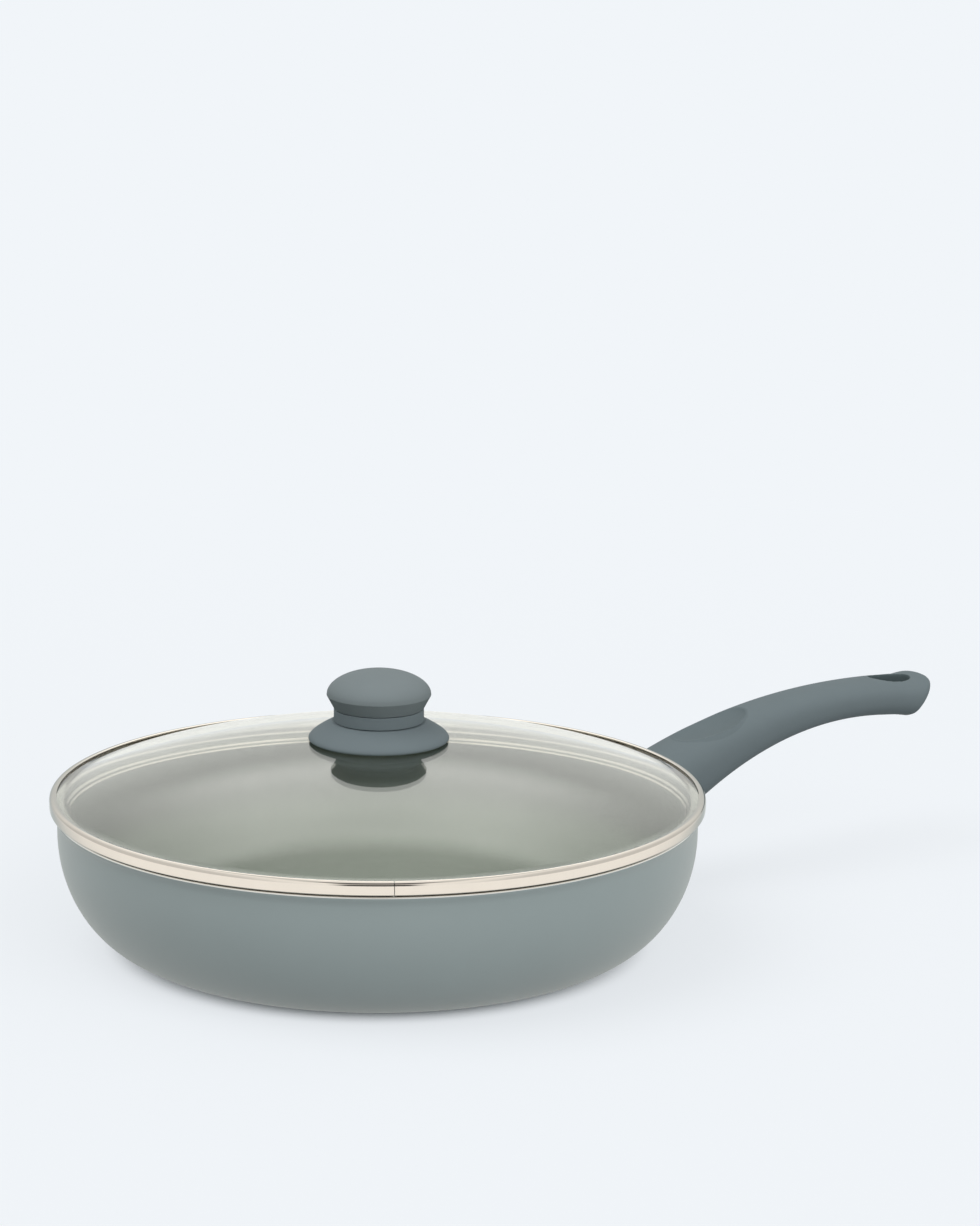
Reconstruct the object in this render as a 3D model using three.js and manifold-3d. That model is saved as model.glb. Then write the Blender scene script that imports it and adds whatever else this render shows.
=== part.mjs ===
// A frying pan with a domed glass lid, in millimetres, +Z up.
// The origin is the centre of the pan's underside, and the handle points along +X.
import * as THREE from "three";
import { mergeVertices } from "three/addons/utils/BufferGeometryUtils.js";
import Module from "manifold-3d";

const wasm = await Module();
wasm.setup();

// Fits
const SEAT_GAP = 0.3; // between two pieces that seat on each other
const SKIRT_CLEARANCE = 0.5; // between the lid's skirt and the pan's mouth

// Pan shell
const MOUTH_RADIUS = 138.4;
const WALL = 2.8;
const FLOOR = 4.2;
const CORNER_REACH = 40.5; // how far the round corner sweeps in from the wall
const CORNER_RISE = 52; // how high the round corner climbs
const UPRIGHT_WALL = 10.6; // straight wall above the corner, rim included
const RIM_FLARE = 1.6; // how far the rim turns outwards
const RIM_FLARE_HEIGHT = 3.6;
const RIM_EDGE = 1.4; // height of the rim's upright edge
const RIM_CHAMFER = 0.5;

// Perforated steel plate pressed into the base
const PLATE_MARGIN = 20.7; // ring of bare base round the plate
const PLATE_THICKNESS = 0.9;
const PLATE_HOLE_RADIUS = 3.2;
const PLATE_HOLE_RINGS = 3;
const PLATE_HOLE_STEP = 6; // holes in the innermost ring, and added with each ring outwards
const PLATE_HOLE_EDGE = 6; // metal between the outermost holes and the plate's edge

// Handle grip: a loft along a Bezier centre line
const GRIP_ROOT_INSET = 11.2; // centre line starts this far inside the wall
const GRIP_ROOT_DROP = 33.2; // and this far below the rim
const GRIP_OVERRUN = 3; // chin of the grip past the start of the centre line
const GRIP_REACH = 179.4; // horizontal run of the centre line, to the lower corner of the end
const GRIP_SHOULDER_RISE = 39;
const GRIP_ARCH_RISE = 49.2;
const GRIP_END_RISE = 40.8;
const GRIP_TIP = 11.6; // slanted end past that corner
const GRIP_TIP_LIFT = 8.4; // height of its furthest point over the centre line
const GRIP_TIP_ROUND = 5.8; // fullness of the rounding above that point
const GRIP_TIP_LEVEL = 7; // how far the top edge runs on before it rounds down
const GRIP_ROOT_WIDTH = 40;
const GRIP_SHOULDER_WIDTH = 34.3;
const GRIP_WAIST_WIDTH = 19.4;
const GRIP_END_WIDTH = 34;
const GRIP_ROOT_THICKNESS = 41.4;
const GRIP_SHOULDER_THICKNESS = 23.7;
const GRIP_WAIST_THICKNESS = 13.9;
const GRIP_END_THICKNESS = 19.3;
const GRIP_SQUARENESS = 2.3; // exponent of the superellipse section
const TIP_SQUARENESS = 1.75; // exponent of the end's outline seen from above

// Thumb rest and hang hole in the grip
const THUMB_REST_SETBACK = 51.5; // from the wall to the middle of the thumb rest
const THUMB_REST_LENGTH = 42;
const THUMB_REST_WIDTH = 25;
const THUMB_REST_DEPTH = 4.2; // below the crown of the grip
const THUMB_REST_TILT = 0.1; // radians, deeper towards the end of the grip
const HANG_HOLE_INSET = 8; // hole centre, back from the end of the centre line
const HANG_HOLE_LENGTH = 23.2;
const HANG_HOLE_WIDTH = 16.2;

// Bracket welded to the wall, with a tongue inside the grip
const SADDLE_WIDTH = 26;
const SADDLE_HEIGHT = 22;
const SADDLE_THICKNESS = 4;
const TONGUE_LENGTH = 36; // past the wall
const TONGUE_ROOT_WIDTH = 20;
const TONGUE_TIP_WIDTH = 13;
const TONGUE_HEIGHT = 11;

// Screw that holds the grip on the tongue, from below
const GRIP_SCREW_RADIUS = 2.2;
const GRIP_SCREW_SETBACK = 20; // along the tongue from the wall
const GRIP_SCREW_ENGAGEMENT = 9; // length inside the tongue
const GRIP_SCREW_LAND = 3.6; // grip wall between the tongue and the washer
const GRIP_SCREW_HEAD_RADIUS = 4.4;
const GRIP_SCREW_HEAD_HEIGHT = 2.8;
const GRIP_WASHER_RADIUS = 5;
const GRIP_WASHER_THICKNESS = 1;

// Lid: dome of toughened glass in a rolled steel band
const LID_OVERHANG = 3.8; // band past the pan's wall
const GLASS_THICKNESS = 3.9;
const GLASS_FLAT = 3.6; // flat edge of the glass inside the band
const GLASS_CHAMFER = 0.9;
const DOME_RISE = 24.2;
const BAND_SHEET = 0.6;
const BAND_BEND = 1.1; // bend radius of the sheet's middle at the outer corners
const BAND_LIP = 3.1; // width of the lip folded over the glass
const SKIRT_BEND = 0.7;
const SKIRT_DEPTH = 6.6; // skirt below the seat
const SKIRT_STEP_DEPTH = 3.3;
const SKIRT_STEP = 0.8; // how far the lower skirt steps inwards
const SKIRT_HEM = 0.7;

// Knob: flange, collar and cap on one screw
const GLASS_HOLE_RADIUS = 4.6;
const GASKET_RADIUS = 16;
const GASKET_THICKNESS = 0.9;
const FLANGE_RADIUS = 31.1;
const FLANGE_EDGE = 0.75; // chamfer of the flange's lower edge, which follows the dome
const FLANGE_HEIGHT = 6; // above the gasket
const FLANGE_SHOULDER = 5.2; // from the flange's top down to the shoulder of its convex face
const FLANGE_TOP_RADIUS = 20.9;
const FLANGE_FLOOR = 2.5;
const COLLAR_RADIUS = 19.9;
const COLLAR_HEIGHT = 5.5;
const CAP_RADIUS = 23.1;
const CAP_CHAMFER_HEIGHT = 5.9;
const CAP_DOME_HEIGHT = 10.8;
const STEM_RADIUS = 7.5;
const INSERT_RADIUS = 4.1;
const INSERT_LENGTH = 13;
const INSERT_CROWN = 2; // closed end of the insert above its bore
const KNOB_SCREW_RADIUS = 2.2;
const KNOB_SCREW_TIP_GAP = 1;
const KNOB_SCREW_HEAD_RADIUS = 4.4;
const KNOB_SCREW_HEAD_HEIGHT = 2.8;
const SEAL_RADIUS = 9;
const SEAL_THICKNESS = 1.5;
const KNOB_WASHER_RADIUS = 7.5;
const KNOB_WASHER_THICKNESS = 1;

// Facets
const LARGE_SIDES = 48; // round the pan, glass and band
const KNOB_SIDES = 36;
const SMALL_SIDES = 20; // round screws, washers and their holes
const PLATE_HOLE_SIDES = 8;
const CURVE_STEPS = 4; // steps of a curve, and half the steps of an arc
const BEND_STEPS = 1; // half the steps of a bend in sheet metal
const DOME_STEPS = 6; // from the knob to the edge of the glass
const SEAT_STEPS = 2; // along a gasket's face that follows the dome
const GRIP_SIDES = 24;
const GRIP_BODY_RINGS = 16;
const GRIP_TIP_RINGS = 6;

// Sizes that follow from the ones above
const PAN_HEIGHT = CORNER_RISE + UPRIGHT_WALL;
const OUTER_RADIUS = MOUTH_RADIUS + WALL;
const RIM_RADIUS = OUTER_RADIUS + RIM_FLARE;
const FLAT_RADIUS = OUTER_RADIUS - CORNER_REACH;
const PLATE_RADIUS = FLAT_RADIUS - PLATE_MARGIN;
const BAND_RADIUS = OUTER_RADIUS + LID_OVERHANG;
const BAND_HEIGHT = GLASS_THICKNESS + 2 * (BAND_SHEET + SEAT_GAP);
const LID_SEAT = PAN_HEIGHT + SEAT_GAP;
const GLASS_RADIUS = BAND_RADIUS - BAND_SHEET - SEAT_GAP;
const GLASS_BOTTOM = BAND_SHEET + SEAT_GAP;
const GLASS_TOP = GLASS_BOTTOM + GLASS_THICKNESS;
const DOME_EDGE = GLASS_RADIUS - GLASS_FLAT;
const DOME_RADIUS = (DOME_EDGE ** 2 + DOME_RISE ** 2) / (2 * DOME_RISE);
const CROWN = GLASS_TOP + DOME_RISE;
const DOME_CENTRE = CROWN - DOME_RADIUS;

// Height of the knob's pieces above the crown of the glass, and below it
const FLANGE_BOTTOM = SEAT_GAP + GASKET_THICKNESS + SEAT_GAP;
const FLANGE_TOP = FLANGE_BOTTOM + FLANGE_HEIGHT;
const COLLAR_BOTTOM = FLANGE_TOP + SEAT_GAP;
const COLLAR_TOP = COLLAR_BOTTOM + COLLAR_HEIGHT;
const CAP_BOTTOM = COLLAR_TOP + SEAT_GAP;
const STEM_BOTTOM = FLANGE_BOTTOM + FLANGE_FLOOR + SEAT_GAP;
const INSERT_TOP = STEM_BOTTOM + INSERT_LENGTH;
const SEAL_BOTTOM = -GLASS_THICKNESS - SEAT_GAP - SEAL_THICKNESS;
const KNOB_WASHER_TOP = SEAL_BOTTOM - SEAT_GAP;
const KNOB_SCREW_SEAT = KNOB_WASHER_TOP - KNOB_WASHER_THICKNESS - SEAT_GAP;

// Solids

// A closed geometry as a solid that can be joined and cut
function solidOf(geometry) {
  geometry.deleteAttribute("normal");
  geometry.deleteAttribute("uv");
  const merged = mergeVertices(geometry);
  const corners = merged.index.array;
  const triangles = [];
  for (let i = 0; i < corners.length; i += 3) {
    const [a, b, c] = corners.slice(i, i + 3);
    if (a !== b && b !== c && c !== a) triangles.push(a, b, c);
  }
  return new wasm.Manifold(
    new wasm.Mesh({
      numProp: 3,
      vertProperties: new Float32Array(merged.attributes.position.array),
      triVerts: new Uint32Array(triangles),
    }),
  );
}

function geometryOf(solid) {
  const mesh = solid.getMesh();
  const geometry = new THREE.BufferGeometry();
  geometry.setAttribute("position", new THREE.BufferAttribute(mesh.vertProperties, mesh.numProp));
  geometry.setIndex(new THREE.BufferAttribute(mesh.triVerts, 1));
  geometry.computeVertexNormals();
  return geometry;
}

// Turns a section, drawn anticlockwise as radius and height, about the Z axis
function turned(points, sides) {
  return solidOf(new THREE.LatheGeometry(points, sides).rotateX(Math.PI / 2));
}

// Turns a section that keeps clear of the axis, so it closes on itself
function turnedRing(points, sides) {
  return turned([...points, points[0].clone()], sides);
}

// A flat washer-like ring
function washer(bore, radius, bottom, top) {
  const section = [
    new THREE.Vector2(bore, bottom),
    new THREE.Vector2(radius, bottom),
    new THREE.Vector2(radius, top),
    new THREE.Vector2(bore, top),
  ];
  return turnedRing(section, SMALL_SIDES);
}

// A round bar along Z, used to drill holes
function drill(radius, bottom, top) {
  const bar = new THREE.CylinderGeometry(radius, radius, top - bottom, SMALL_SIDES);
  return bar.rotateX(Math.PI / 2).translate(0, 0, (bottom + top) / 2);
}

// A screw with a low domed head below its seat, pointing up
function screw(radius, headRadius, headHeight, seat, tip) {
  const section = new THREE.Path();
  section.moveTo(0, seat - headHeight);
  section.quadraticCurveTo(headRadius, seat - headHeight, headRadius, seat);
  section.lineTo(radius, seat);
  section.lineTo(radius, tip - radius / 2);
  section.lineTo(radius / 2, tip);
  section.lineTo(0, tip);
  return turned(section.getPoints(CURVE_STEPS), SMALL_SIDES);
}

// Outline of sheet metal of one thickness, bent along a line of points
function sheetOutline(line, thickness) {
  const across = line.slice(1).map((point, i) => {
    const step = point.clone().sub(line[i]).normalize();
    return new THREE.Vector2(-step.y, step.x);
  });
  const left = [];
  const right = [];
  line.forEach((point, i) => {
    const before = across[Math.max(i - 1, 0)];
    const after = across[Math.min(i, across.length - 1)];
    const mitre = before.clone().add(after).normalize();
    mitre.multiplyScalar(thickness / 2 / mitre.dot(after));
    left.push(point.clone().add(mitre));
    right.push(point.clone().sub(mitre));
  });
  return [...right, ...left.reverse()];
}

// Pan

// Climbs the outside of the pan, from the flat base to the top of the rim, at a gap from it
function climbOuterWall(path, gap) {
  const wallTop = PAN_HEIGHT - RIM_EDGE - RIM_FLARE_HEIGHT;
  path.absellipse(FLAT_RADIUS, CORNER_RISE, CORNER_REACH + gap, CORNER_RISE + gap, -Math.PI / 2, 0, false);
  path.lineTo(OUTER_RADIUS + gap, wallTop);
  path.quadraticCurveTo(
    OUTER_RADIUS + gap, PAN_HEIGHT - RIM_EDGE - RIM_FLARE_HEIGHT / 2,
    RIM_RADIUS + gap, PAN_HEIGHT - RIM_EDGE,
  );
}

// Everything within the pan's outside, grown by a gap: pieces that sit on the wall are cut by it
function panPlug(gap) {
  const section = new THREE.Path();
  section.moveTo(0, -gap);
  section.lineTo(FLAT_RADIUS, -gap);
  climbOuterWall(section, gap);
  section.lineTo(RIM_RADIUS + gap, PAN_HEIGHT + gap);
  section.lineTo(0, PAN_HEIGHT + gap);
  return turned(section.getPoints(CURVE_STEPS), LARGE_SIDES);
}

function panShell() {
  const recessRadius = PLATE_RADIUS + SEAT_GAP;
  const recessDepth = PLATE_THICKNESS + SEAT_GAP;
  const section = new THREE.Path();
  section.moveTo(0, recessDepth);
  section.lineTo(recessRadius, recessDepth);
  section.lineTo(recessRadius, 0);
  section.lineTo(FLAT_RADIUS, 0);
  climbOuterWall(section, 0);
  section.lineTo(RIM_RADIUS, PAN_HEIGHT - RIM_CHAMFER);
  section.lineTo(RIM_RADIUS - RIM_CHAMFER, PAN_HEIGHT);
  section.lineTo(MOUTH_RADIUS + RIM_CHAMFER, PAN_HEIGHT);
  section.lineTo(MOUTH_RADIUS, PAN_HEIGHT - RIM_CHAMFER);
  section.absellipse(FLAT_RADIUS, CORNER_RISE, CORNER_REACH - WALL, CORNER_RISE - FLOOR, 0, -Math.PI / 2, true);
  section.lineTo(0, FLOOR);
  return turned(section.getPoints(CURVE_STEPS), LARGE_SIDES);
}

function circle(x, y, radius, sides) {
  const points = new THREE.EllipseCurve(x, y, radius, radius).getPoints(sides);
  return points.slice(0, sides);
}

// The plate's holes lie on rings that fill the plate, round a plain middle
function basePlate() {
  const plate = new THREE.Shape(circle(0, 0, PLATE_RADIUS, LARGE_SIDES));
  const outermost = PLATE_RADIUS - PLATE_HOLE_EDGE - PLATE_HOLE_RADIUS;
  for (let ring = 1; ring <= PLATE_HOLE_RINGS; ring += 1) {
    const radius = (outermost * ring) / PLATE_HOLE_RINGS;
    const count = PLATE_HOLE_STEP * ring;
    for (let i = 0; i < count; i += 1) {
      const turn = (2 * Math.PI * i) / count;
      const x = radius * Math.cos(turn);
      const y = radius * Math.sin(turn);
      plate.holes.push(new THREE.Path(circle(x, y, PLATE_HOLE_RADIUS, PLATE_HOLE_SIDES)));
    }
  }
  return solidOf(new THREE.ExtrudeGeometry(plate, { depth: PLATE_THICKNESS, bevelEnabled: false }));
}

// Handle

// Value along the grip, from its root to its end, as a Bezier curve over even steps
function gripCurve(root, shoulder, waist, end, start, run) {
  return new THREE.CubicBezierCurve(
    new THREE.Vector2(start, root),
    new THREE.Vector2(start + run / 3, shoulder),
    new THREE.Vector2(start + (2 * run) / 3, waist),
    new THREE.Vector2(start + run, end),
  );
}

const gripStart = OUTER_RADIUS - GRIP_ROOT_INSET;
const gripBase = PAN_HEIGHT - GRIP_ROOT_DROP;
const gripLine = gripCurve(
  gripBase,
  gripBase + GRIP_SHOULDER_RISE,
  gripBase + GRIP_ARCH_RISE,
  gripBase + GRIP_END_RISE,
  gripStart,
  GRIP_REACH,
);
const gripWidth = gripCurve(GRIP_ROOT_WIDTH, GRIP_SHOULDER_WIDTH, GRIP_WAIST_WIDTH, GRIP_END_WIDTH, 0, 1);
const gripThickness = gripCurve(
  GRIP_ROOT_THICKNESS,
  GRIP_SHOULDER_THICKNESS,
  GRIP_WAIST_THICKNESS,
  GRIP_END_THICKNESS,
  0,
  1,
);

// Share of the centre line at a distance outside the pan's wall
function gripShare(outside) {
  return (OUTER_RADIUS + outside - gripStart) / GRIP_REACH;
}

// A frame on the centre line: X along it, Y across, Z out of the top of the grip
function gripFrame(share) {
  const point = gripLine.getPoint(share);
  const along = gripLine.getTangent(share);
  return new THREE.Matrix4()
    .makeBasis(
      new THREE.Vector3(along.x, 0, along.y),
      new THREE.Vector3(0, 1, 0),
      new THREE.Vector3(-along.y, 0, along.x),
    )
    .setPosition(point.x, 0, point.y);
}

// Edges of the slanted end in its middle plane: distance past the centre line, and height over it
const tipHalf = GRIP_END_THICKNESS / 2;
const tipPoint = new THREE.Vector2(GRIP_TIP, GRIP_TIP_LIFT);
const tipTop = new THREE.CubicBezierCurve(
  new THREE.Vector2(0, tipHalf),
  new THREE.Vector2(GRIP_TIP_LEVEL, tipHalf),
  new THREE.Vector2(GRIP_TIP, GRIP_TIP_LIFT + GRIP_TIP_ROUND),
  tipPoint,
);
const tipBottom = new THREE.LineCurve(new THREE.Vector2(0, -tipHalf), tipPoint);

// Frame and size of one ring of the slanted end, which closes at its furthest point
function tipRing(share) {
  const top = tipTop.getPoint(share);
  const bottom = tipBottom.getPoint(share);
  const middle = top.clone().add(bottom).divideScalar(2);
  const lean = top.clone().sub(bottom).normalize();
  const turn = new THREE.Matrix4()
    .makeBasis(
      new THREE.Vector3(lean.y, 0, -lean.x),
      new THREE.Vector3(0, 1, 0),
      new THREE.Vector3(lean.x, 0, lean.y),
    )
    .setPosition(middle.x, 0, middle.y);
  return {
    frame: gripFrame(1).multiply(turn),
    halfWidth: (GRIP_END_WIDTH / 2) * Math.max(1 - share ** TIP_SQUARENESS, 0) ** (1 / TIP_SQUARENESS),
    halfThickness: top.distanceTo(bottom) / 2,
  };
}

// Frame and size of one ring of the loft: first the chin's, then the body's and the end's
function gripRing(ring) {
  const body = Math.max(ring - 1, 0) / GRIP_BODY_RINGS;
  if (body > 1) {
    const tip = (ring - 1 - GRIP_BODY_RINGS) / GRIP_TIP_RINGS;
    return tipRing(Math.sin((tip * Math.PI) / 2));
  }
  const overrun = new THREE.Matrix4().makeTranslation(ring === 0 ? -GRIP_OVERRUN : 0, 0, 0);
  return {
    frame: gripFrame(body).multiply(overrun),
    halfWidth: gripWidth.getPoint(body).y / 2,
    halfThickness: gripThickness.getPoint(body).y / 2,
  };
}

// Rounds a cosine or sine out towards a square
function squared(value) {
  return Math.sign(value) * Math.abs(value) ** (2 / GRIP_SQUARENESS);
}

// A drum of rings, each laid on the centre line as a superellipse
function gripLoft() {
  const rings = 1 + GRIP_BODY_RINGS + GRIP_TIP_RINGS;
  const drum = new THREE.CylinderGeometry(1, 1, rings, GRIP_SIDES, rings);
  const position = drum.attributes.position;
  const point = new THREE.Vector3();
  for (let i = 0; i < position.count; i += 1) {
    point.fromBufferAttribute(position, i);
    const { frame, halfWidth, halfThickness } = gripRing(Math.round(rings / 2 - point.y));
    const across = squared(point.x) * halfWidth;
    const height = squared(point.z) * halfThickness;
    point.set(0, across, height).applyMatrix4(frame);
    position.setXYZ(i, point.x, point.y, point.z);
  }
  return solidOf(drum);
}

// The tongue lies on the chord of the centre line, from the wall outwards
const tongueRoot = gripLine.getPoint(gripShare(0));
const tongueAlong = gripLine.getPoint(gripShare(TONGUE_LENGTH)).sub(tongueRoot).normalize();
const tongueFrame = new THREE.Matrix4()
  .makeBasis(
    new THREE.Vector3(tongueAlong.x, 0, tongueAlong.y),
    new THREE.Vector3(0, 1, 0),
    new THREE.Vector3(-tongueAlong.y, 0, tongueAlong.x),
  )
  .setPosition(tongueRoot.x, 0, tongueRoot.y);

// The bracket before the wall is cut away, grown all round by a gap
function bracketBlank(gap) {
  const halfRoot = TONGUE_ROOT_WIDTH / 2 + gap;
  const halfTip = TONGUE_TIP_WIDTH / 2 + gap;
  const height = TONGUE_HEIGHT + 2 * gap;
  const plan = new THREE.Shape();
  plan.moveTo(-SADDLE_HEIGHT / 2, -halfRoot);
  plan.lineTo(SADDLE_THICKNESS, -halfRoot);
  plan.lineTo(TONGUE_LENGTH + gap - halfTip, -halfTip);
  plan.absarc(TONGUE_LENGTH + gap - halfTip, 0, halfTip, -Math.PI / 2, Math.PI / 2, false);
  plan.lineTo(SADDLE_THICKNESS, halfRoot);
  plan.lineTo(-SADDLE_HEIGHT / 2, halfRoot);
  const tongue = new THREE.ExtrudeGeometry(plan, {
    depth: height,
    bevelEnabled: false,
    curveSegments: CURVE_STEPS,
  });
  tongue.translate(0, 0, -height / 2).applyMatrix4(tongueFrame);
  const block = new THREE.BoxGeometry(CORNER_REACH, SADDLE_WIDTH + 2 * gap, SADDLE_HEIGHT + 2 * gap);
  block.translate(OUTER_RADIUS, 0, tongueRoot.y);
  const saddle = solidOf(block).intersect(panPlug(SEAT_GAP + SADDLE_THICKNESS + gap));
  return saddle.add(solidOf(tongue));
}

const gripScrewHole = GRIP_SCREW_RADIUS + SEAT_GAP;
const gripScrewSeat = -(TONGUE_HEIGHT / 2 + SEAT_GAP + GRIP_SCREW_LAND);
const gripWasherTop = gripScrewSeat - SEAT_GAP;
const gripHeadSeat = gripWasherTop - GRIP_WASHER_THICKNESS - SEAT_GAP;
const gripScrewFrame = tongueFrame.clone().multiply(
  new THREE.Matrix4().makeTranslation(GRIP_SCREW_SETBACK, 0, 0),
);

function handleBracket() {
  const hole = drill(gripScrewHole, -TONGUE_HEIGHT, TONGUE_HEIGHT).applyMatrix4(gripScrewFrame);
  return bracketBlank(0).subtract(panPlug(SEAT_GAP)).subtract(solidOf(hole));
}

function thumbRest() {
  const frame = gripFrame(gripShare(THUMB_REST_SETBACK));
  const crown = gripThickness.getPoint(gripShare(THUMB_REST_SETBACK)).y / 2;
  const dimple = new THREE.SphereGeometry(1, GRIP_SIDES, GRIP_SIDES / 2);
  dimple.rotateX(Math.PI / 2);
  dimple.scale(THUMB_REST_LENGTH / 2, THUMB_REST_WIDTH / 2, THUMB_REST_DEPTH);
  dimple.rotateY(THUMB_REST_TILT);
  return solidOf(dimple.translate(0, 0, crown).applyMatrix4(frame));
}

function hangHole() {
  const frame = gripFrame(1 - HANG_HOLE_INSET / GRIP_REACH);
  const outline = new THREE.Shape();
  outline.absellipse(0, 0, HANG_HOLE_LENGTH / 2, HANG_HOLE_WIDTH / 2, 0, 2 * Math.PI, false);
  const depth = 2 * GRIP_END_THICKNESS;
  const core = new THREE.ExtrudeGeometry(outline, {
    depth,
    bevelEnabled: false,
    curveSegments: 2 * CURVE_STEPS,
  });
  return solidOf(core.translate(0, 0, -depth / 2).applyMatrix4(frame));
}

function handleGrip() {
  const counterbore = GRIP_WASHER_RADIUS + SEAT_GAP;
  const shaft = drill(gripScrewHole, gripScrewSeat - SEAT_GAP, 0).applyMatrix4(gripScrewFrame);
  const well = drill(counterbore, -GRIP_ROOT_THICKNESS, gripScrewSeat).applyMatrix4(gripScrewFrame);
  return gripLoft()
    .subtract(panPlug(SEAT_GAP))
    .subtract(bracketBlank(SEAT_GAP))
    .subtract(solidOf(shaft))
    .subtract(solidOf(well))
    .subtract(thumbRest())
    .subtract(hangHole());
}

function handleScrew() {
  const tip = GRIP_SCREW_ENGAGEMENT - TONGUE_HEIGHT / 2;
  return screw(GRIP_SCREW_RADIUS, GRIP_SCREW_HEAD_RADIUS, GRIP_SCREW_HEAD_HEIGHT, gripHeadSeat, tip);
}

function handleWasher() {
  return washer(gripScrewHole, GRIP_WASHER_RADIUS, gripWasherTop - GRIP_WASHER_THICKNESS, gripWasherTop);
}

// Lid

// Height of the dome's outer face, or of a face inside it, at a distance from the axis
function domeHeight(radius, inside) {
  return DOME_CENTRE + Math.sqrt((DOME_RADIUS - inside) ** 2 - radius ** 2);
}

// Points along such a face, from one distance from the axis to another
function domeFace(from, to, inside, steps) {
  return Array.from({ length: steps + 1 }, (_, i) => {
    const radius = from + ((to - from) * i) / steps;
    return new THREE.Vector2(radius, domeHeight(radius, inside));
  });
}

function lidGlass() {
  const underEdge = Math.sqrt((DOME_RADIUS - GLASS_THICKNESS) ** 2 - (GLASS_BOTTOM - DOME_CENTRE) ** 2);
  const section = [
    ...domeFace(GLASS_HOLE_RADIUS, underEdge, GLASS_THICKNESS, DOME_STEPS),
    new THREE.Vector2(GLASS_RADIUS - GLASS_CHAMFER, GLASS_BOTTOM),
    new THREE.Vector2(GLASS_RADIUS, GLASS_BOTTOM + GLASS_CHAMFER),
    new THREE.Vector2(GLASS_RADIUS, GLASS_TOP - GLASS_CHAMFER),
    new THREE.Vector2(GLASS_RADIUS - GLASS_CHAMFER, GLASS_TOP),
    ...domeFace(DOME_EDGE, GLASS_HOLE_RADIUS, 0, DOME_STEPS),
  ];
  return turnedRing(section, LARGE_SIDES);
}

// The band folds over the glass, turns in under it and drops into the pan's mouth as a skirt
function lidRimBand() {
  const half = BAND_SHEET / 2;
  const outerBend = BAND_RADIUS - half - BAND_BEND;
  const skirt = MOUTH_RADIUS - SKIRT_CLEARANCE - half;
  const line = new THREE.Path();
  line.moveTo(BAND_RADIUS - BAND_LIP, BAND_HEIGHT - half);
  line.absarc(outerBend, BAND_HEIGHT - half - BAND_BEND, BAND_BEND, Math.PI / 2, 0, true);
  line.absarc(outerBend, half + BAND_BEND, BAND_BEND, 0, -Math.PI / 2, true);
  line.absarc(skirt + SKIRT_BEND, half - SKIRT_BEND, SKIRT_BEND, Math.PI / 2, Math.PI, false);
  line.lineTo(skirt, -SKIRT_STEP_DEPTH);
  line.lineTo(skirt - SKIRT_STEP, -SKIRT_STEP_DEPTH - SKIRT_STEP);
  line.lineTo(skirt - SKIRT_STEP, half - SKIRT_DEPTH + SKIRT_HEM);
  line.lineTo(skirt - SKIRT_STEP - SKIRT_HEM, half - SKIRT_DEPTH);
  const points = line.getPoints(BEND_STEPS);
  return turnedRing(sheetOutline(points, BAND_SHEET), LARGE_SIDES);
}

// Knob, above the crown of the glass

const knobScrewHole = KNOB_SCREW_RADIUS + SEAT_GAP;

function knobGasket() {
  const bottom = domeFace(knobScrewHole, GASKET_RADIUS, 0, SEAT_STEPS);
  const section = [
    ...bottom.map((point) => new THREE.Vector2(point.x, point.y - CROWN + SEAT_GAP)),
    new THREE.Vector2(GASKET_RADIUS, SEAT_GAP + GASKET_THICKNESS),
    new THREE.Vector2(knobScrewHole, SEAT_GAP + GASKET_THICKNESS),
  ];
  return turnedRing(section, KNOB_SIDES);
}

// The flange lies on the gasket, and its hollow underside reaches down round it along the dome
function knobBase() {
  const socket = STEM_RADIUS + SEAT_GAP;
  const floorTop = FLANGE_BOTTOM + FLANGE_FLOOR;
  const hollow = GASKET_RADIUS + SEAT_GAP;
  const edge = FLANGE_RADIUS - FLANGE_EDGE;
  const edgeBottom = domeHeight(edge, 0) - CROWN + SEAT_GAP;
  const section = new THREE.Path();
  section.moveTo(knobScrewHole, FLANGE_BOTTOM);
  section.lineTo(hollow, FLANGE_BOTTOM);
  section.lineTo(hollow, domeHeight(hollow, 0) - CROWN + SEAT_GAP);
  section.lineTo(edge, edgeBottom);
  section.lineTo(FLANGE_RADIUS, edgeBottom + FLANGE_EDGE);
  section.quadraticCurveTo(FLANGE_RADIUS, FLANGE_TOP - FLANGE_SHOULDER, FLANGE_TOP_RADIUS, FLANGE_TOP);
  section.lineTo(socket, FLANGE_TOP);
  section.lineTo(socket, floorTop);
  section.lineTo(knobScrewHole, floorTop);
  return turnedRing(section.getPoints(CURVE_STEPS), KNOB_SIDES);
}

function knobCollar() {
  const bore = STEM_RADIUS + SEAT_GAP;
  const section = [
    new THREE.Vector2(bore, COLLAR_BOTTOM),
    new THREE.Vector2(COLLAR_RADIUS, COLLAR_BOTTOM),
    new THREE.Vector2(COLLAR_RADIUS, COLLAR_TOP),
    new THREE.Vector2(bore, COLLAR_TOP),
  ];
  return turnedRing(section, KNOB_SIDES);
}

// The cap's stem passes through the collar into the flange, and holds the insert
function knobCap() {
  const crease = CAP_BOTTOM + CAP_CHAMFER_HEIGHT;
  const bore = INSERT_RADIUS + SEAT_GAP;
  const section = new THREE.Path();
  section.moveTo(0, INSERT_TOP + SEAT_GAP);
  section.lineTo(bore, INSERT_TOP + SEAT_GAP);
  section.lineTo(bore, STEM_BOTTOM);
  section.lineTo(STEM_RADIUS, STEM_BOTTOM);
  section.lineTo(STEM_RADIUS, CAP_BOTTOM);
  section.lineTo(COLLAR_RADIUS, CAP_BOTTOM);
  section.absellipse(0, crease, CAP_RADIUS, CAP_DOME_HEIGHT, 0, Math.PI / 2, false);
  return turned(section.getPoints(CURVE_STEPS), KNOB_SIDES);
}

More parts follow.
